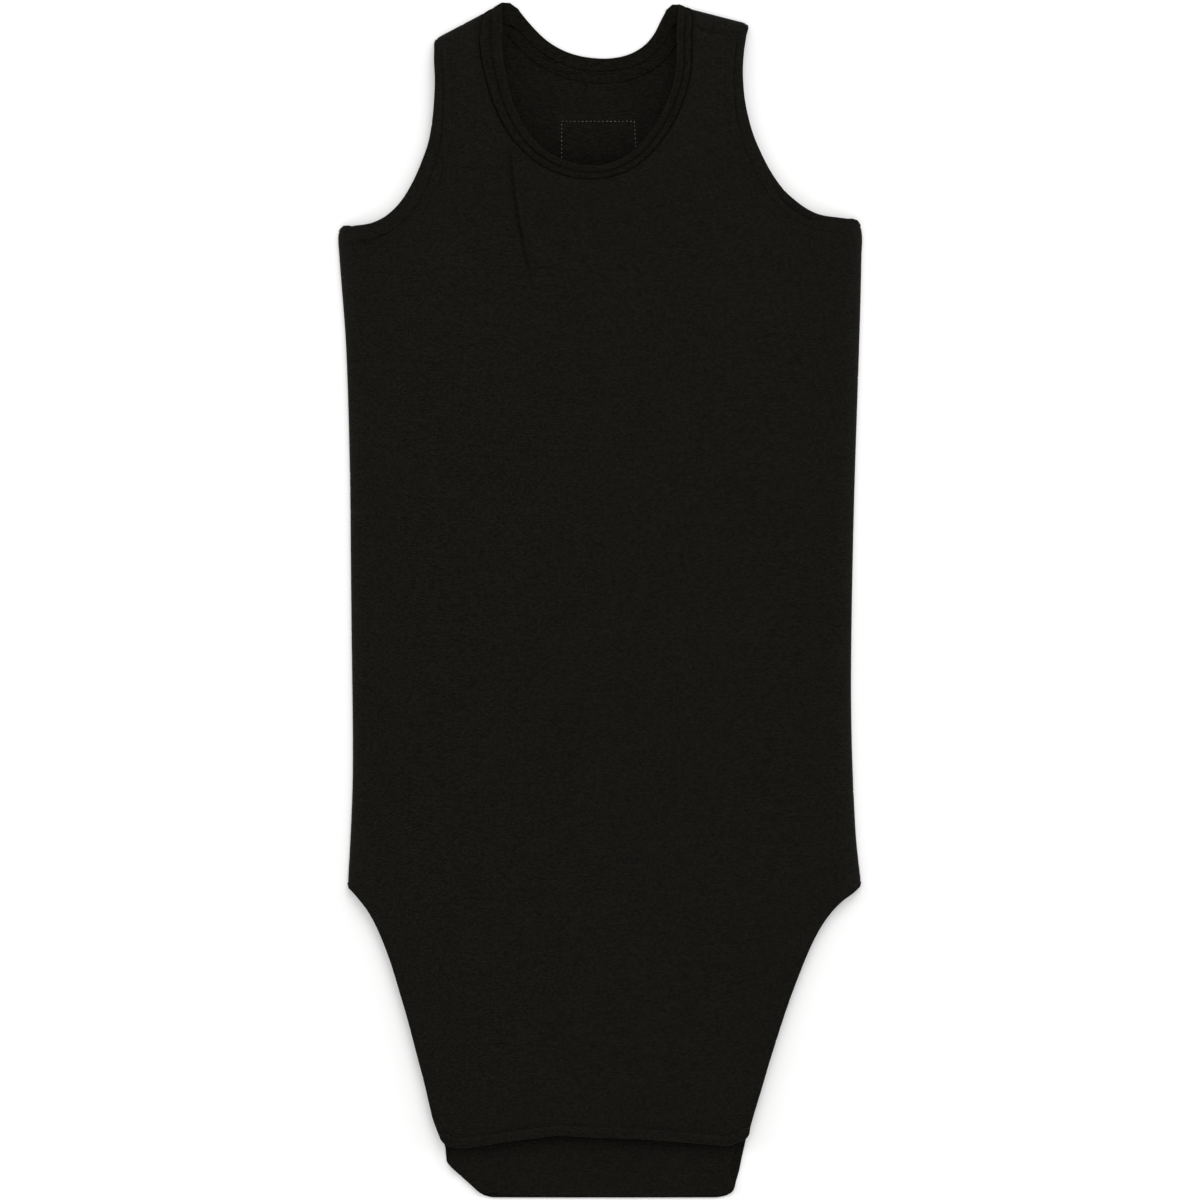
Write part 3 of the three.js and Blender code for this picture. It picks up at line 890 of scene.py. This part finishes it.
def surfaceOf(obj):
    shape = bmesh.new()
    shape.from_mesh(obj.data)
    tree = BVHTree.FromBMesh(shape)
    shape.free()
    return tree


# the top of a surface straight above a place
def onTop(tree, place, lift=0.0, fallback=0.0):
    hit = tree.ray_cast(Vector((place[0], place[1], 0.05)), Vector((0.0, 0.0, -1.0)))[0]
    return Vector((place[0], place[1], (hit.z if hit else fallback) + lift))


def threads(name, pairs, radius, material, around=6):
    bm = bmesh.new()
    for start, end in pairs:
        start, end = Vector(start), Vector(end)
        way = end - start
        turn = way.to_track_quat("Z", "Y").to_matrix().to_4x4()
        size = Matrix.Diagonal((radius, radius, way.length / 2 + radius, 1.0))
        bmesh.ops.create_uvsphere(
            bm, u_segments=around, v_segments=4, radius=1.0,
            matrix=Matrix.Translation((start + end) / 2) @ turn @ size,
        )
    return newObject(name, bm, material)


# gives place(along, distance) beside a line, on the side given by sign, and the line's length
def beside(line, sign, pitch=1.0 * mm):
    fineLine = resampled(line, pitch)
    normals = leftOf(fineLine) * sign
    run = np.linspace(0.0, lengthOf(fineLine), len(fineLine))

    def place(along, distance):
        return np.array([
            np.interp(along, run, fineLine[:, axis]) + np.interp(along, run, normals[:, axis]) * distance
            for axis in (0, 1)
        ])

    return place, run[-1]


# a row of stitches beside a line, lying on a surface
def dashes(line, sign, distance, stitch, tree):
    place, total = beside(line, sign)
    steps = (0.0, stitch["dash"])
    return [
        [onTop(tree, place(along + step, distance), stitch["lift"], stitch["level"]) for step in steps]
        for along in np.arange(stitch["ends"], total - stitch["ends"] - stitch["dash"], stitch["pitch"])
    ]


frontTree = surfaceOf(frontCloth)
sideSign = {"right": 1, "left": -1}  # which way from each side's edges the cloth lies

# ---------- back cloth ----------
back = {
    "pitch": 2.8 * mm, "thickness": 0.8 * mm, "level": 0.4 * mm, "ripple": 0.1 * mm,
    "roll": 0.4 * mm, "turnWidth": 4.0 * mm, "neckStart": (-61.4, 383.2), "neckEnd": (51.9, 384.3),
    "flatNeck": 9 * mm, "neckFade": 8 * mm, "fineReach": 30 * mm,
    "foldPoints": 24,  # the leg edge's last points, which the fold at the bottom holds
}
patch = {
    "low": Vector(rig.box("label_patch")[0]), "high": Vector(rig.box("label_patch")[1]),
    "raise": 0.5 * mm, "margin": 0.3 * mm, "soften": 2.2 * mm, "level": 0.2 * mm, "thickness": 0.38 * mm,
}
backNeck = chain(backLoop, back["neckStart"], back["neckEnd"])


def backHeight(points):
    x, y = points[:, 0], points[:, 1]
    low, high = patch["low"], patch["high"]
    beyond = np.max([low.x - x, x - high.x, low.y - y, y - high.y], axis=0)
    swell = np.array([0.5 + 0.5 * noise.noise((p[0] * 30, p[1] * 30, 9.0)) for p in points])
    toNeck = nearest(points, backNeck)[0]
    height = back["level"] + back["ripple"] * swell * ease((toNeck - back["flatNeck"]) / back["neckFade"])
    return height + patch["raise"] * (1.0 - ease((beyond - patch["margin"]) / patch["soften"]))


bm, layers, rim = flatCloth(backLoop, back["pitch"])
patchPlace = (np.array(patch["low"].xy) + np.array(patch["high"].xy)) / 2
refine(bm, lambda points: np.max(np.abs(points[:, :2] - patchPlace), axis=1) < back["fineReach"])
backOpen = list(armholes.values()) + [edges[name]["backLeg"][:-back["foldPoints"]] for name in edges]
backCloth, backArea = laidCloth("backCloth", bm, layers, rim, backHeight, backOpen, back, 1)
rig.ride(backCloth, "torso")
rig.replaces(backCloth, "back_panel")
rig.slot(backCloth, "jersey")
backTree = surfaceOf(backCloth)

# ---------- crotch flap: the back carried round the bottom fold ----------
flap = {
    "pitch": 2.6 * mm, "thickness": 0.8 * mm, "level": 1.5 * mm, "ripple": 0.16 * mm,
    "roll": 0.55 * mm, "turnWidth": 0.0,
    "curl": 0.9 * mm, "curlReach": 8 * mm, "sides": (-0.0965, 0.0875), "corners": [(-93, -336), (90.5, -336)],
    "rise": 12 * mm,
}
flapLoop = smoothLoop(outlineOf("crotch_flap_panel"), flap["corners"])
flapLow = min(p[1] for p in flapLoop)
flapBottom = np.array(sorted((p for p in flapLoop if p[1] < flapLow + 0.4 * mm), key=lambda p: p[0]))


# the flap rises from the fold, rippled, and its sides curl up a little
def flapHeight(points):
    heights = []
    for x, y in points[:, :2]:
        free = min(1.0, (y - flapLow) / flap["rise"])
        swell = noise.noise((x * 60, y * 24, 3.0)) + 0.6 * noise.noise((x * 18, y * 9, 7.0))
        toSide = min(abs(x - side) for side in flap["sides"])
        curl = flap["curl"] * (1.0 - ease(toSide / flap["curlReach"]))
        heights.append(flap["level"] + (flap["ripple"] * swell + curl * ease(free)) * free)
    return heights


bm, layers, rim = flatCloth(flapLoop, flap["pitch"])
crotchFlap, flapArea = laidCloth("crotchFlap", bm, layers, rim, flapHeight, [flapBottom], flap, -1)
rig.blend(crotchFlap, "torso", "crotch_flap", start=(0.0, -0.3900, 0.0004), end=(0.0, -0.3860, 0.0014))
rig.replaces(crotchFlap, "crotch_flap_panel")
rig.slot(crotchFlap, "jersey")

# ---------- neck band: a folded strip sewn all round the neck ----------
band = {
    "pitch": 2.0 * mm, "above": -0.35 * mm, "backLevel": 0.78 * mm, "backWidth": 7.9 * mm,
    "widths": [(0.0, 15.8), (0.08, 14.6), (0.2, 12.6), (0.32, 10.6), (0.5, 9.1), (0.75, 9.5), (1.0, 10.1)],
    "foldThin": 0.28, "foldReach": 9 * mm, "joinReach": (14 * mm, 4.5 * mm), "overlap": 0.6 * mm,
    "hump": 2.2 * mm, "humpReach": (1.8 * mm, 1.5 * mm, 4 * mm),  # it begins, turns and ends along the back
    "shoulderWays": ((14.6, 8.6), (-9.5, 3.6)), "turnReach": 14 * mm, "levelReach": 12 * mm,
    "ripple": 0.12 * mm, "clear": 0.5 * mm, "lipFrom": -0.8,
}
bandSection = [  # share of the width from the seam, height in millimetres
    (-0.08, -2.3), (-0.08, -1.9), (0.02, -1.7), (0.035, -0.9), (0.07, 0.0), (0.13, 0.66), (0.25, 0.9),
    (0.4, 0.74), (0.46, -0.1), (0.5, -0.3), (0.54, -0.1), (0.6, 0.78), (0.76, 0.9), (0.9, 0.76), (0.98, 0.4),
    (1.0, 0.0), (0.975, -0.45), (0.8, -0.7), (0.57, -0.68),
    (0.5, -0.64), (0.43, -0.68), (0.2, -0.75), (0.07, -1.0), (0.03, -2.3),
]


# the lip that reaches under the front's edge is left out where the band turns to the back
def bandPoints(outer, inner, normal, thin=1.0):
    lip, deep = max(0.0, normal.z) * thin, band["lipFrom"]
    return [
        outer.lerp(inner, share if share > 0 else share * lip)
        + normal * (mm * thin * (rise if rise > deep else deep + (rise - deep) * lip))
        for share, rise in bandSection
    ]


# the band is thinner where it folds over the shoulder
def thinAt(toEnd):
    return band["foldThin"] + (1.0 - band["foldThin"]) * float(ease(toEnd / band["foldReach"]))


frontSeamLine = resampled(neckLine, band["pitch"])
normals = leftOf(frontSeamLine)
run = np.linspace(0.0, 1.0, len(frontSeamLine))
total = lengthOf(frontSeamLine)
widths = np.interp(run, [w[0] for w in band["widths"]], [w[1] * mm for w in band["widths"]])
openingLine = frontSeamLine + normals * widths[:, None]
for end, way in zip((0.0, 1.0), band["shoulderWays"]):
    near = 1.0 - ease(np.abs(run - end) * total / band["turnReach"])[:, None]
    wanted = frontSeamLine + np.array(Vector(way).normalized()) * widths[:, None]
    openingLine = openingLine * (1 - near) + wanted * near
frontStations = []
outerHeights, innerHeights = loft(frontSeamLine)[0], loft(openingLine)[0]
for i, (outer, inner) in enumerate(zip(frontSeamLine, openingLine)):
    toEnd = min(run[i], 1.0 - run[i]) * total
    wave = band["above"] + band["ripple"] * noise.noise((outer[0] * 60, outer[1] * 60, 4.0))
    seamLevel, openingLevel = [
        max(height, front["seam"] + band["clear"]) + wave for height in (outerHeights[i], innerHeights[i])
    ]
    openingLevel = seamLevel + (openingLevel - seamLevel) * float(ease(toEnd / band["levelReach"]))
    frontStations.append((Vector((*outer, seamLevel)), Vector((*inner, openingLevel)), thinAt(toEnd)))

backSeamLine = resampled(backNeck, band["pitch"])[::-1]
backInner = backSeamLine - leftOf(backSeamLine) * band["backWidth"]
backSeamLine = backSeamLine + leftOf(backSeamLine) * band["overlap"]
backRun = np.linspace(0.0, lengthOf(backSeamLine), len(backSeamLine))
backStations = []
for i, (outer, inner) in enumerate(zip(backSeamLine, backInner)):
    pair = [Vector((*outer, band["backLevel"])), Vector((*inner, band["backLevel"]))]
    for toEnd, joined, own in (
        (backRun[i], frontStations[-1], (backSeamLine[0], backInner[0])),
        (backRun[-1] - backRun[i], frontStations[0], (backSeamLine[-1], backInner[-1])),
    ):
        for k in (0, 1):
            near = 1.0 - float(ease(toEnd / band["joinReach"][k]))
            shift = Vector((joined[k].x - own[k][0], joined[k].y - own[k][1], 0.0))
            pair[k] = pair[k] + shift * near
        begins, turns, ends = band["humpReach"]
        swell = float(ease(toEnd / begins) * (1.0 - ease((toEnd - turns) / ends)))
        pair[1] = pair[1] + Vector((0.0, band["hump"] * swell, 0.0))
    backStations.append((pair[0], pair[1], thinAt(min(backRun[i], backRun[-1] - backRun[i]))))


# half a turn over the shoulder, from one layer to the other
def overShoulder(first, last, upFirst):
    made = []
    for angle in np.linspace(0.0, math.pi, 7)[1:-1]:
        share = angle / math.pi
        pair = [first[k].lerp(last[k], (1 - math.cos(angle)) / 2) for k in (0, 1)]
        out = Vector((0.0, abs(first[0].z - last[0].z) / 2 * math.sin(angle), 0.0))
        normal = Vector((0.0, math.sin(angle), math.cos(angle) * (1 if upFirst else -1)))
        made.append(bandPoints(pair[0] + out, pair[1] + out, normal, band["foldThin"]))
    return made


up, down = Vector((0.0, 0.0, 1.0)), Vector((0.0, 0.0, -1.0))
stations = [bandPoints(*pair, up, thin) for *pair, thin in frontStations]
stations += overShoulder(frontStations[-1], backStations[0], True)
stations += [bandPoints(*pair, down, thin) for *pair, thin in backStations]
stations += overShoulder(backStations[-1], frontStations[0], False)
neckBand = newObject("neckBand", carried(stations, closedSection=True, closedPath=True), bandCloth)
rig.ride(neckBand, "torso")
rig.replaces(neckBand, "neck_band")
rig.slot(neckBand, "rib")
print("neck band:", len(neckBand.data.polygons), "faces")


# ---------- narrow strips: a section of distances and heights carried along a line ----------
def strip(name, line, sign, section, thickness, material, height=None, pitch=2.5 * mm):
    place, total = beside(line, sign)
    stations = []
    for along in np.linspace(0.0, total, max(3, round(total / pitch) + 1)):
        flat = np.array([place(along, distance) for distance, _ in section])
        base = height(flat) if height else np.zeros(len(flat))
        stations.append([Vector((p[0], p[1], b + z)) for p, b, (_, z) in zip(flat, base, section)])
    made = newObject(name, carried(stations), material)
    solidify(made, thickness)
    return made


facing = {
    "armholeWidth": 13 * mm, "legWidth": 11 * mm, "thickness": 0.5 * mm, "belowFront": -1.85 * mm,
    "edge": 1.0 * mm, "overTurn": 1.95 * mm, "onBack": 1.15 * mm, "endY": -0.332, "pitch": 2.5 * mm,
    "stepDown": (3.0 * mm, 4.6 * mm, 6.6 * mm),  # the hem lies over the turned edge, then comes down to the back
}


def frontSection(width):
    start = facing["edge"]
    return [(start + (width - start) * share, facing["belowFront"]) for share in np.linspace(0, 1, 6)]


def backSection(width):
    high, low = facing["overTurn"], facing["onBack"]
    first, second, third = facing["stepDown"]
    return [
        (facing["edge"], high), (first, high), (second, high),
        (third, low), (0.5 * (third + width), low), (width, low),
    ]


def cutTo(line, keep):
    return np.array([p for p in line if keep(p)])


trims = {"frontCloth": [], "backCloth": [], "crotchFlap": []}
for name, sign in sideSign.items():
    armhole = resampled(armholes[name], facing["pitch"])[3:-4]  # short of the strap and of the underarm
    leg = cutTo(resampled(edges[name]["leg"], facing["pitch"])[4:], lambda p: p[1] > facing["endY"])
    made = {}
    for hem, line, width in (("Armhole", armhole, facing["armholeWidth"]), ("Leg", leg, facing["legWidth"])):
        for layer, section, height in (("Facing", frontSection, frontHeight), ("FacingBack", backSection, None)):
            made[hem + layer] = strip(
                f"{name}{hem}{layer}", line, sign, section(width), facing["thickness"], jersey, height
            )
    for part in ("ArmholeFacing", "ArmholeFacingBack", "LegFacingBack"):
        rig.ride(made[part], "torso")
    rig.blend(made["LegFacing"], "torso", "front_tail", start=hingeStart, end=hingeEnd)
    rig.replaces(made["ArmholeFacing"], f"{name}_armhole_facing")
    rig.replaces(made["LegFacing"], f"{name}_tail_facing")
    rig.replaces(made["LegFacingBack"], f"{name}_leg_facing")
    for piece in made.values():
        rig.slot(piece, "jersey")
    trims["frontCloth"] += [made["ArmholeFacing"], made["LegFacing"]]
    trims["backCloth"] += [made["ArmholeFacingBack"], made["LegFacingBack"]]

# ---------- tape over the band's seam inside the back neck ----------
neckTape = {
    "start": 0.3 * mm, "width": 7.8 * mm, "level": 1.2 * mm, "thickness": 0.5 * mm,
    "topY": 0.374, "pitch": 2 * mm,
    "section": [  # share of the width, height in millimetres
        (0, -0.1), (0.05, 0.04), (0.2, 0.1), (0.36, -0.08), (0.5, 0.1), (0.8, 0.1), (0.9, -0.06), (1, -0.12),
    ],
}
tapeLine = cutTo(resampled(backNeck, neckTape["pitch"]), lambda p: p[1] < neckTape["topY"])
tapeSection = [
    (neckTape["start"] + neckTape["width"] * share, neckTape["level"] + rise * mm)
    for share, rise in neckTape["section"]
]
backNeckTape = strip(
    "backNeckTape", tapeLine, -1, tapeSection, neckTape["thickness"], bandCloth, pitch=neckTape["pitch"]
)
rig.ride(backNeckTape, "torso")
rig.replaces(backNeckTape, "back_neck_tape")
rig.slot(backNeckTape, "rib")
tapeTree = surfaceOf(backNeckTape)
trims["backCloth"] += [neckBand, backNeckTape]

# ---------- sewn allowances inside the shoulder and side seams, with their overlock ----------
seam = {
    "inner": 0.6 * mm, "outer": 6.0 * mm, "level": 1.45 * mm, "thickness": 0.9 * mm,
    "shoulderSpan": (0.34, 0.62), "top": 0.224, "bottom": -0.168,
    "overlockPitch": 3.0 * mm, "overlockInner": 2.2 * mm, "overlockStart": 1 * mm, "thread": 0.16 * mm,
}
seamWidth = seam["outer"] - seam["inner"]
seamSection = [(seam["inner"] + seamWidth * share, seam["level"]) for share in (0, 0.33, 0.66, 1)]

for name, sign in sideSign.items():
    shoulder = resampled(edges[name]["shoulder"][::-1], 1 * mm)
    span = [int(share * (len(shoulder) - 1)) for share in seam["shoulderSpan"]]
    lines = {
        "ShoulderSeam": (shoulder[span[0]:span[1] + 1], -sign),
        "SideSeam": (cutTo(edges[name]["seam"], lambda p: seam["bottom"] < p[1] < seam["top"]), sign),
    }
    for part, (line, way) in lines.items():
        piece = strip(f"{name}{part}", line, way, seamSection, seam["thickness"], jersey)
        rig.ride(piece, "torso")
        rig.replaces(piece, f"{name}_{'shoulder' if part == 'ShoulderSeam' else 'side'}_seam")
        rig.slot(piece, "jersey")
        place, total = beside(line, way)
        top = seam["level"] + seam["thickness"] / 2
        pairs = []
        pitch = seam["overlockPitch"]
        zigzag = ((0.0, seam["overlockInner"]), (pitch / 2, seam["outer"]), (pitch, seam["overlockInner"]))
        for along in np.arange(seam["overlockStart"], total - pitch, pitch):
            ends = [Vector((*place(along + step, distance), top)) for step, distance in zigzag]
            pairs += [ends[:2], ends[1:]]
        overlock = threads(f"{name}{part}Overlock", pairs, seam["thread"], blackThread, 4)
        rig.ride(overlock, "torso")
        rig.slot(overlock, "thread")
        trims["backCloth"] += [piece, overlock]
print("facings, tape and seams ready")

# ---------- label patch on the outside of the back, and the stitches that hold it ----------
labelStitch = {
    "inset": 1.8 * mm, "pitch": 2.6 * mm, "dash": 1.05 * mm, "radius": 0.15 * mm, "lift": 0.06 * mm,
    "wobble": 0.12 * mm, "skew": 2.4 * mm,  # the last corner is sewn a little askew
}
bm = bmesh.new()
bmesh.ops.create_grid(bm, x_segments=16, y_segments=14, size=0.5)
patchSize = patch["high"] - patch["low"]
bmesh.ops.scale(bm, vec=(patchSize.x, patchSize.y, 1.0), verts=bm.verts)
bmesh.ops.translate(bm, vec=(*patchPlace, patch["level"]), verts=bm.verts)
labelPatch = newObject("labelPatch", bm, patchWeave)
solidify(labelPatch, patch["thickness"])
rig.ride(labelPatch, "torso")
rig.replaces(labelPatch, "label_patch")
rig.slot(labelPatch, "patch")

inset = labelStitch["inset"]
left, right = patch["low"].x + inset, patch["high"].x - inset
lower, upper = patch["low"].y + inset, patch["high"].y - inset
corners = [(left, lower), (left, upper), (right, upper), (right + labelStitch["skew"], lower)]
corners = [Vector(place) for place in corners]
pairs = []
for first, last in zip(corners, corners[1:] + corners[:1]):
    way = last - first
    count = round(way.length / labelStitch["pitch"])
    for i in range(count):
        wobble = labelStitch["wobble"] * noise.noise((i * 1.7, first.x * 900, first.y * 900))
        side = Vector((-way.y, way.x)).normalized() * wobble
        start = first + way * (i / count) + side
        end = start + way.normalized() * labelStitch["dash"]
        pairs.append([onTop(backTree, p, labelStitch["lift"]) for p in (start, end)])
labelStitches = threads("labelStitches", pairs, labelStitch["radius"], greyThread, 8)
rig.ride(labelStitches, "torso")
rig.replaces(labelStitches, "label_stitching")
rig.slot(labelStitches, "thread")

# ---------- stitching that shows on the cloth ----------
hemStitch = {
    "fromRidge": 0.7 * mm, "pitch": 2.6 * mm, "dash": 1.8 * mm, "radius": 0.2 * mm, "lift": 0.08 * mm,
    "ends": 5 * mm, "level": 0.0,
}
tapeStitch = {
    "rows": (3.1 * mm, 7.2 * mm), "pitch": 2.4 * mm, "dash": 1.6 * mm, "radius": 0.18 * mm, "lift": 0.06 * mm,
    "ends": 2 * mm, "level": 1.45 * mm,
}


def sewn(name, pairs, radius, body, sheetName, around=6):
    piece = threads(name, pairs, radius, blackThread, around)
    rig.ride(piece, body)
    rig.slot(piece, "thread")
    trims[sheetName].append(piece)


for name, sign in sideSign.items():
    place, total = beside(armholes[name], sign)
    pairs = []
    for along in np.arange(coverstitch["first"], total - coverstitch["last"], coverstitch["pitch"]):
        near = float(grooveDistance(along / total)) + coverstitch["afterGroove"]
        far = near + coverstitch["span"]
        slanted = [place(along, near), place(along + coverstitch["slant"], far)]
        pairs.append([onTop(frontTree, p, coverstitch["liftAcross"], front["level"]) for p in slanted])
        for distance in (near, far):
            row = [place(along + step, distance) for step in (0.0, coverstitch["row"])]
            pairs.append([onTop(frontTree, p, coverstitch["liftRow"], front["level"]) for p in row])
    sewn(f"{name}ArmholeStitches", pairs, coverstitch["radius"], "torso", "frontCloth", 5)

pairs = dashes(hemLine, 1, front["hemWidth"] + hemStitch["fromRidge"], hemStitch, frontTree)
sewn("frontHemStitches", pairs, hemStitch["radius"], "front_tail", "frontCloth")
pairs = [pair for distance in tapeStitch["rows"] for pair in dashes(tapeLine, -1, distance, tapeStitch, tapeTree)]
sewn("neckTapeStitches", pairs, tapeStitch["radius"], "torso", "backCloth")

# ---------- snap tapes and press studs ----------
snapTape = {
    "left": -0.086, "right": 0.078, "inset": 1.5 * mm, "width": 14 * mm, "thickness": 0.5 * mm,
    "frontLevel": 5.62 * mm, "flapLevel": 2.7 * mm,
    "stitchInset": 1.2 * mm, "stitchPitch": 2.6 * mm, "dash": 1.8 * mm, "thread": 0.18 * mm, "clear": 0.2 * mm,
    "first": 2 * mm, "last": 4 * mm,
}
closureLine = cutTo(hemLine, lambda p: snapTape["left"] < p[0] < snapTape["right"])
for name, node, body, level, sheetName in (
    ("frontSnapTape", "front_snap_tape", "front_tail", snapTape["frontLevel"], "frontCloth"),
    ("flapSnapTape", "flap_snap_tape", "crotch_flap", snapTape["flapLevel"], "crotchFlap"),
):
    section = [(snapTape["inset"] + snapTape["width"] * share, level) for share in np.linspace(0, 1, 7)]
    piece = strip(name, closureLine, 1, section, snapTape["thickness"], tapeWeave)
    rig.ride(piece, body)
    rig.replaces(piece, node)
    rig.slot(piece, "tape")
    trims[sheetName].append(piece)
    face = level + (0.5 if body == "crotch_flap" else -0.5) * (snapTape["thickness"] + snapTape["clear"])
    place, total = beside(closureLine, 1)
    start, stop = snapTape["inset"] + snapTape["stitchInset"], snapTape["inset"] + snapTape["width"]
    pairs = []
    for distance in (start, stop - snapTape["stitchInset"]):
        for along in np.arange(snapTape["first"], total - snapTape["last"], snapTape["stitchPitch"]):
            pairs.append([Vector((*place(along + step, distance), face)) for step in (0.0, snapTape["dash"])])
    sewn(f"{name}Stitches", pairs, snapTape["thread"], body, sheetName)

for node, obj in frame["nodes"].items():
    if node.startswith("snap_"):
        obj.data.materials.clear()
        obj.data.materials.append(snapPlastic)
print("closure ready")

# ---------- what each sheet was cut to ----------
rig.sheet(frontCloth, flat=(0.345, 0.750), held="laid", rests_on=["backCloth"], area=frontArea,
         with_pieces=trims["frontCloth"])
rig.sheet(backCloth, flat=(0.345, 0.780), held="laid", rests_on=["floor"], area=backArea,
         with_pieces=trims["backCloth"] + [labelStitches])
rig.sheet(crotchFlap, flat=(0.192, 0.056), held="folded", rests_on=["backCloth"], area=flapArea,
         with_pieces=trims["crotchFlap"])
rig.sheet(labelPatch, flat=(0.051, 0.046), held="laid", rests_on=["floor"])

# ---------- floor ----------
bm = bmesh.new()
bmesh.ops.create_grid(bm, x_segments=1, y_segments=1, size=studio["floorSize"] / 2)
bmesh.ops.translate(bm, vec=(0.0, 0.0, studio["floorLevel"]), verts=bm.verts)
floorMaterial, tree, surface = newMaterial("paleFloor", studio["floorColor"][:3], 0.2)
feed(tree, surface, {"Base Color": studio["floorColor"], "Roughness": 0.9})
floor = newObject("floor", bm, floorMaterial, smooth=False)
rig.stage(floor)

visualLow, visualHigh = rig.bounds()
with open("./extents.json", "w") as file:
    json.dump({"cad": [list(cadLow), list(cadHigh)], "visual": [list(visualLow), list(visualHigh)]}, file)
print("pieces ready")
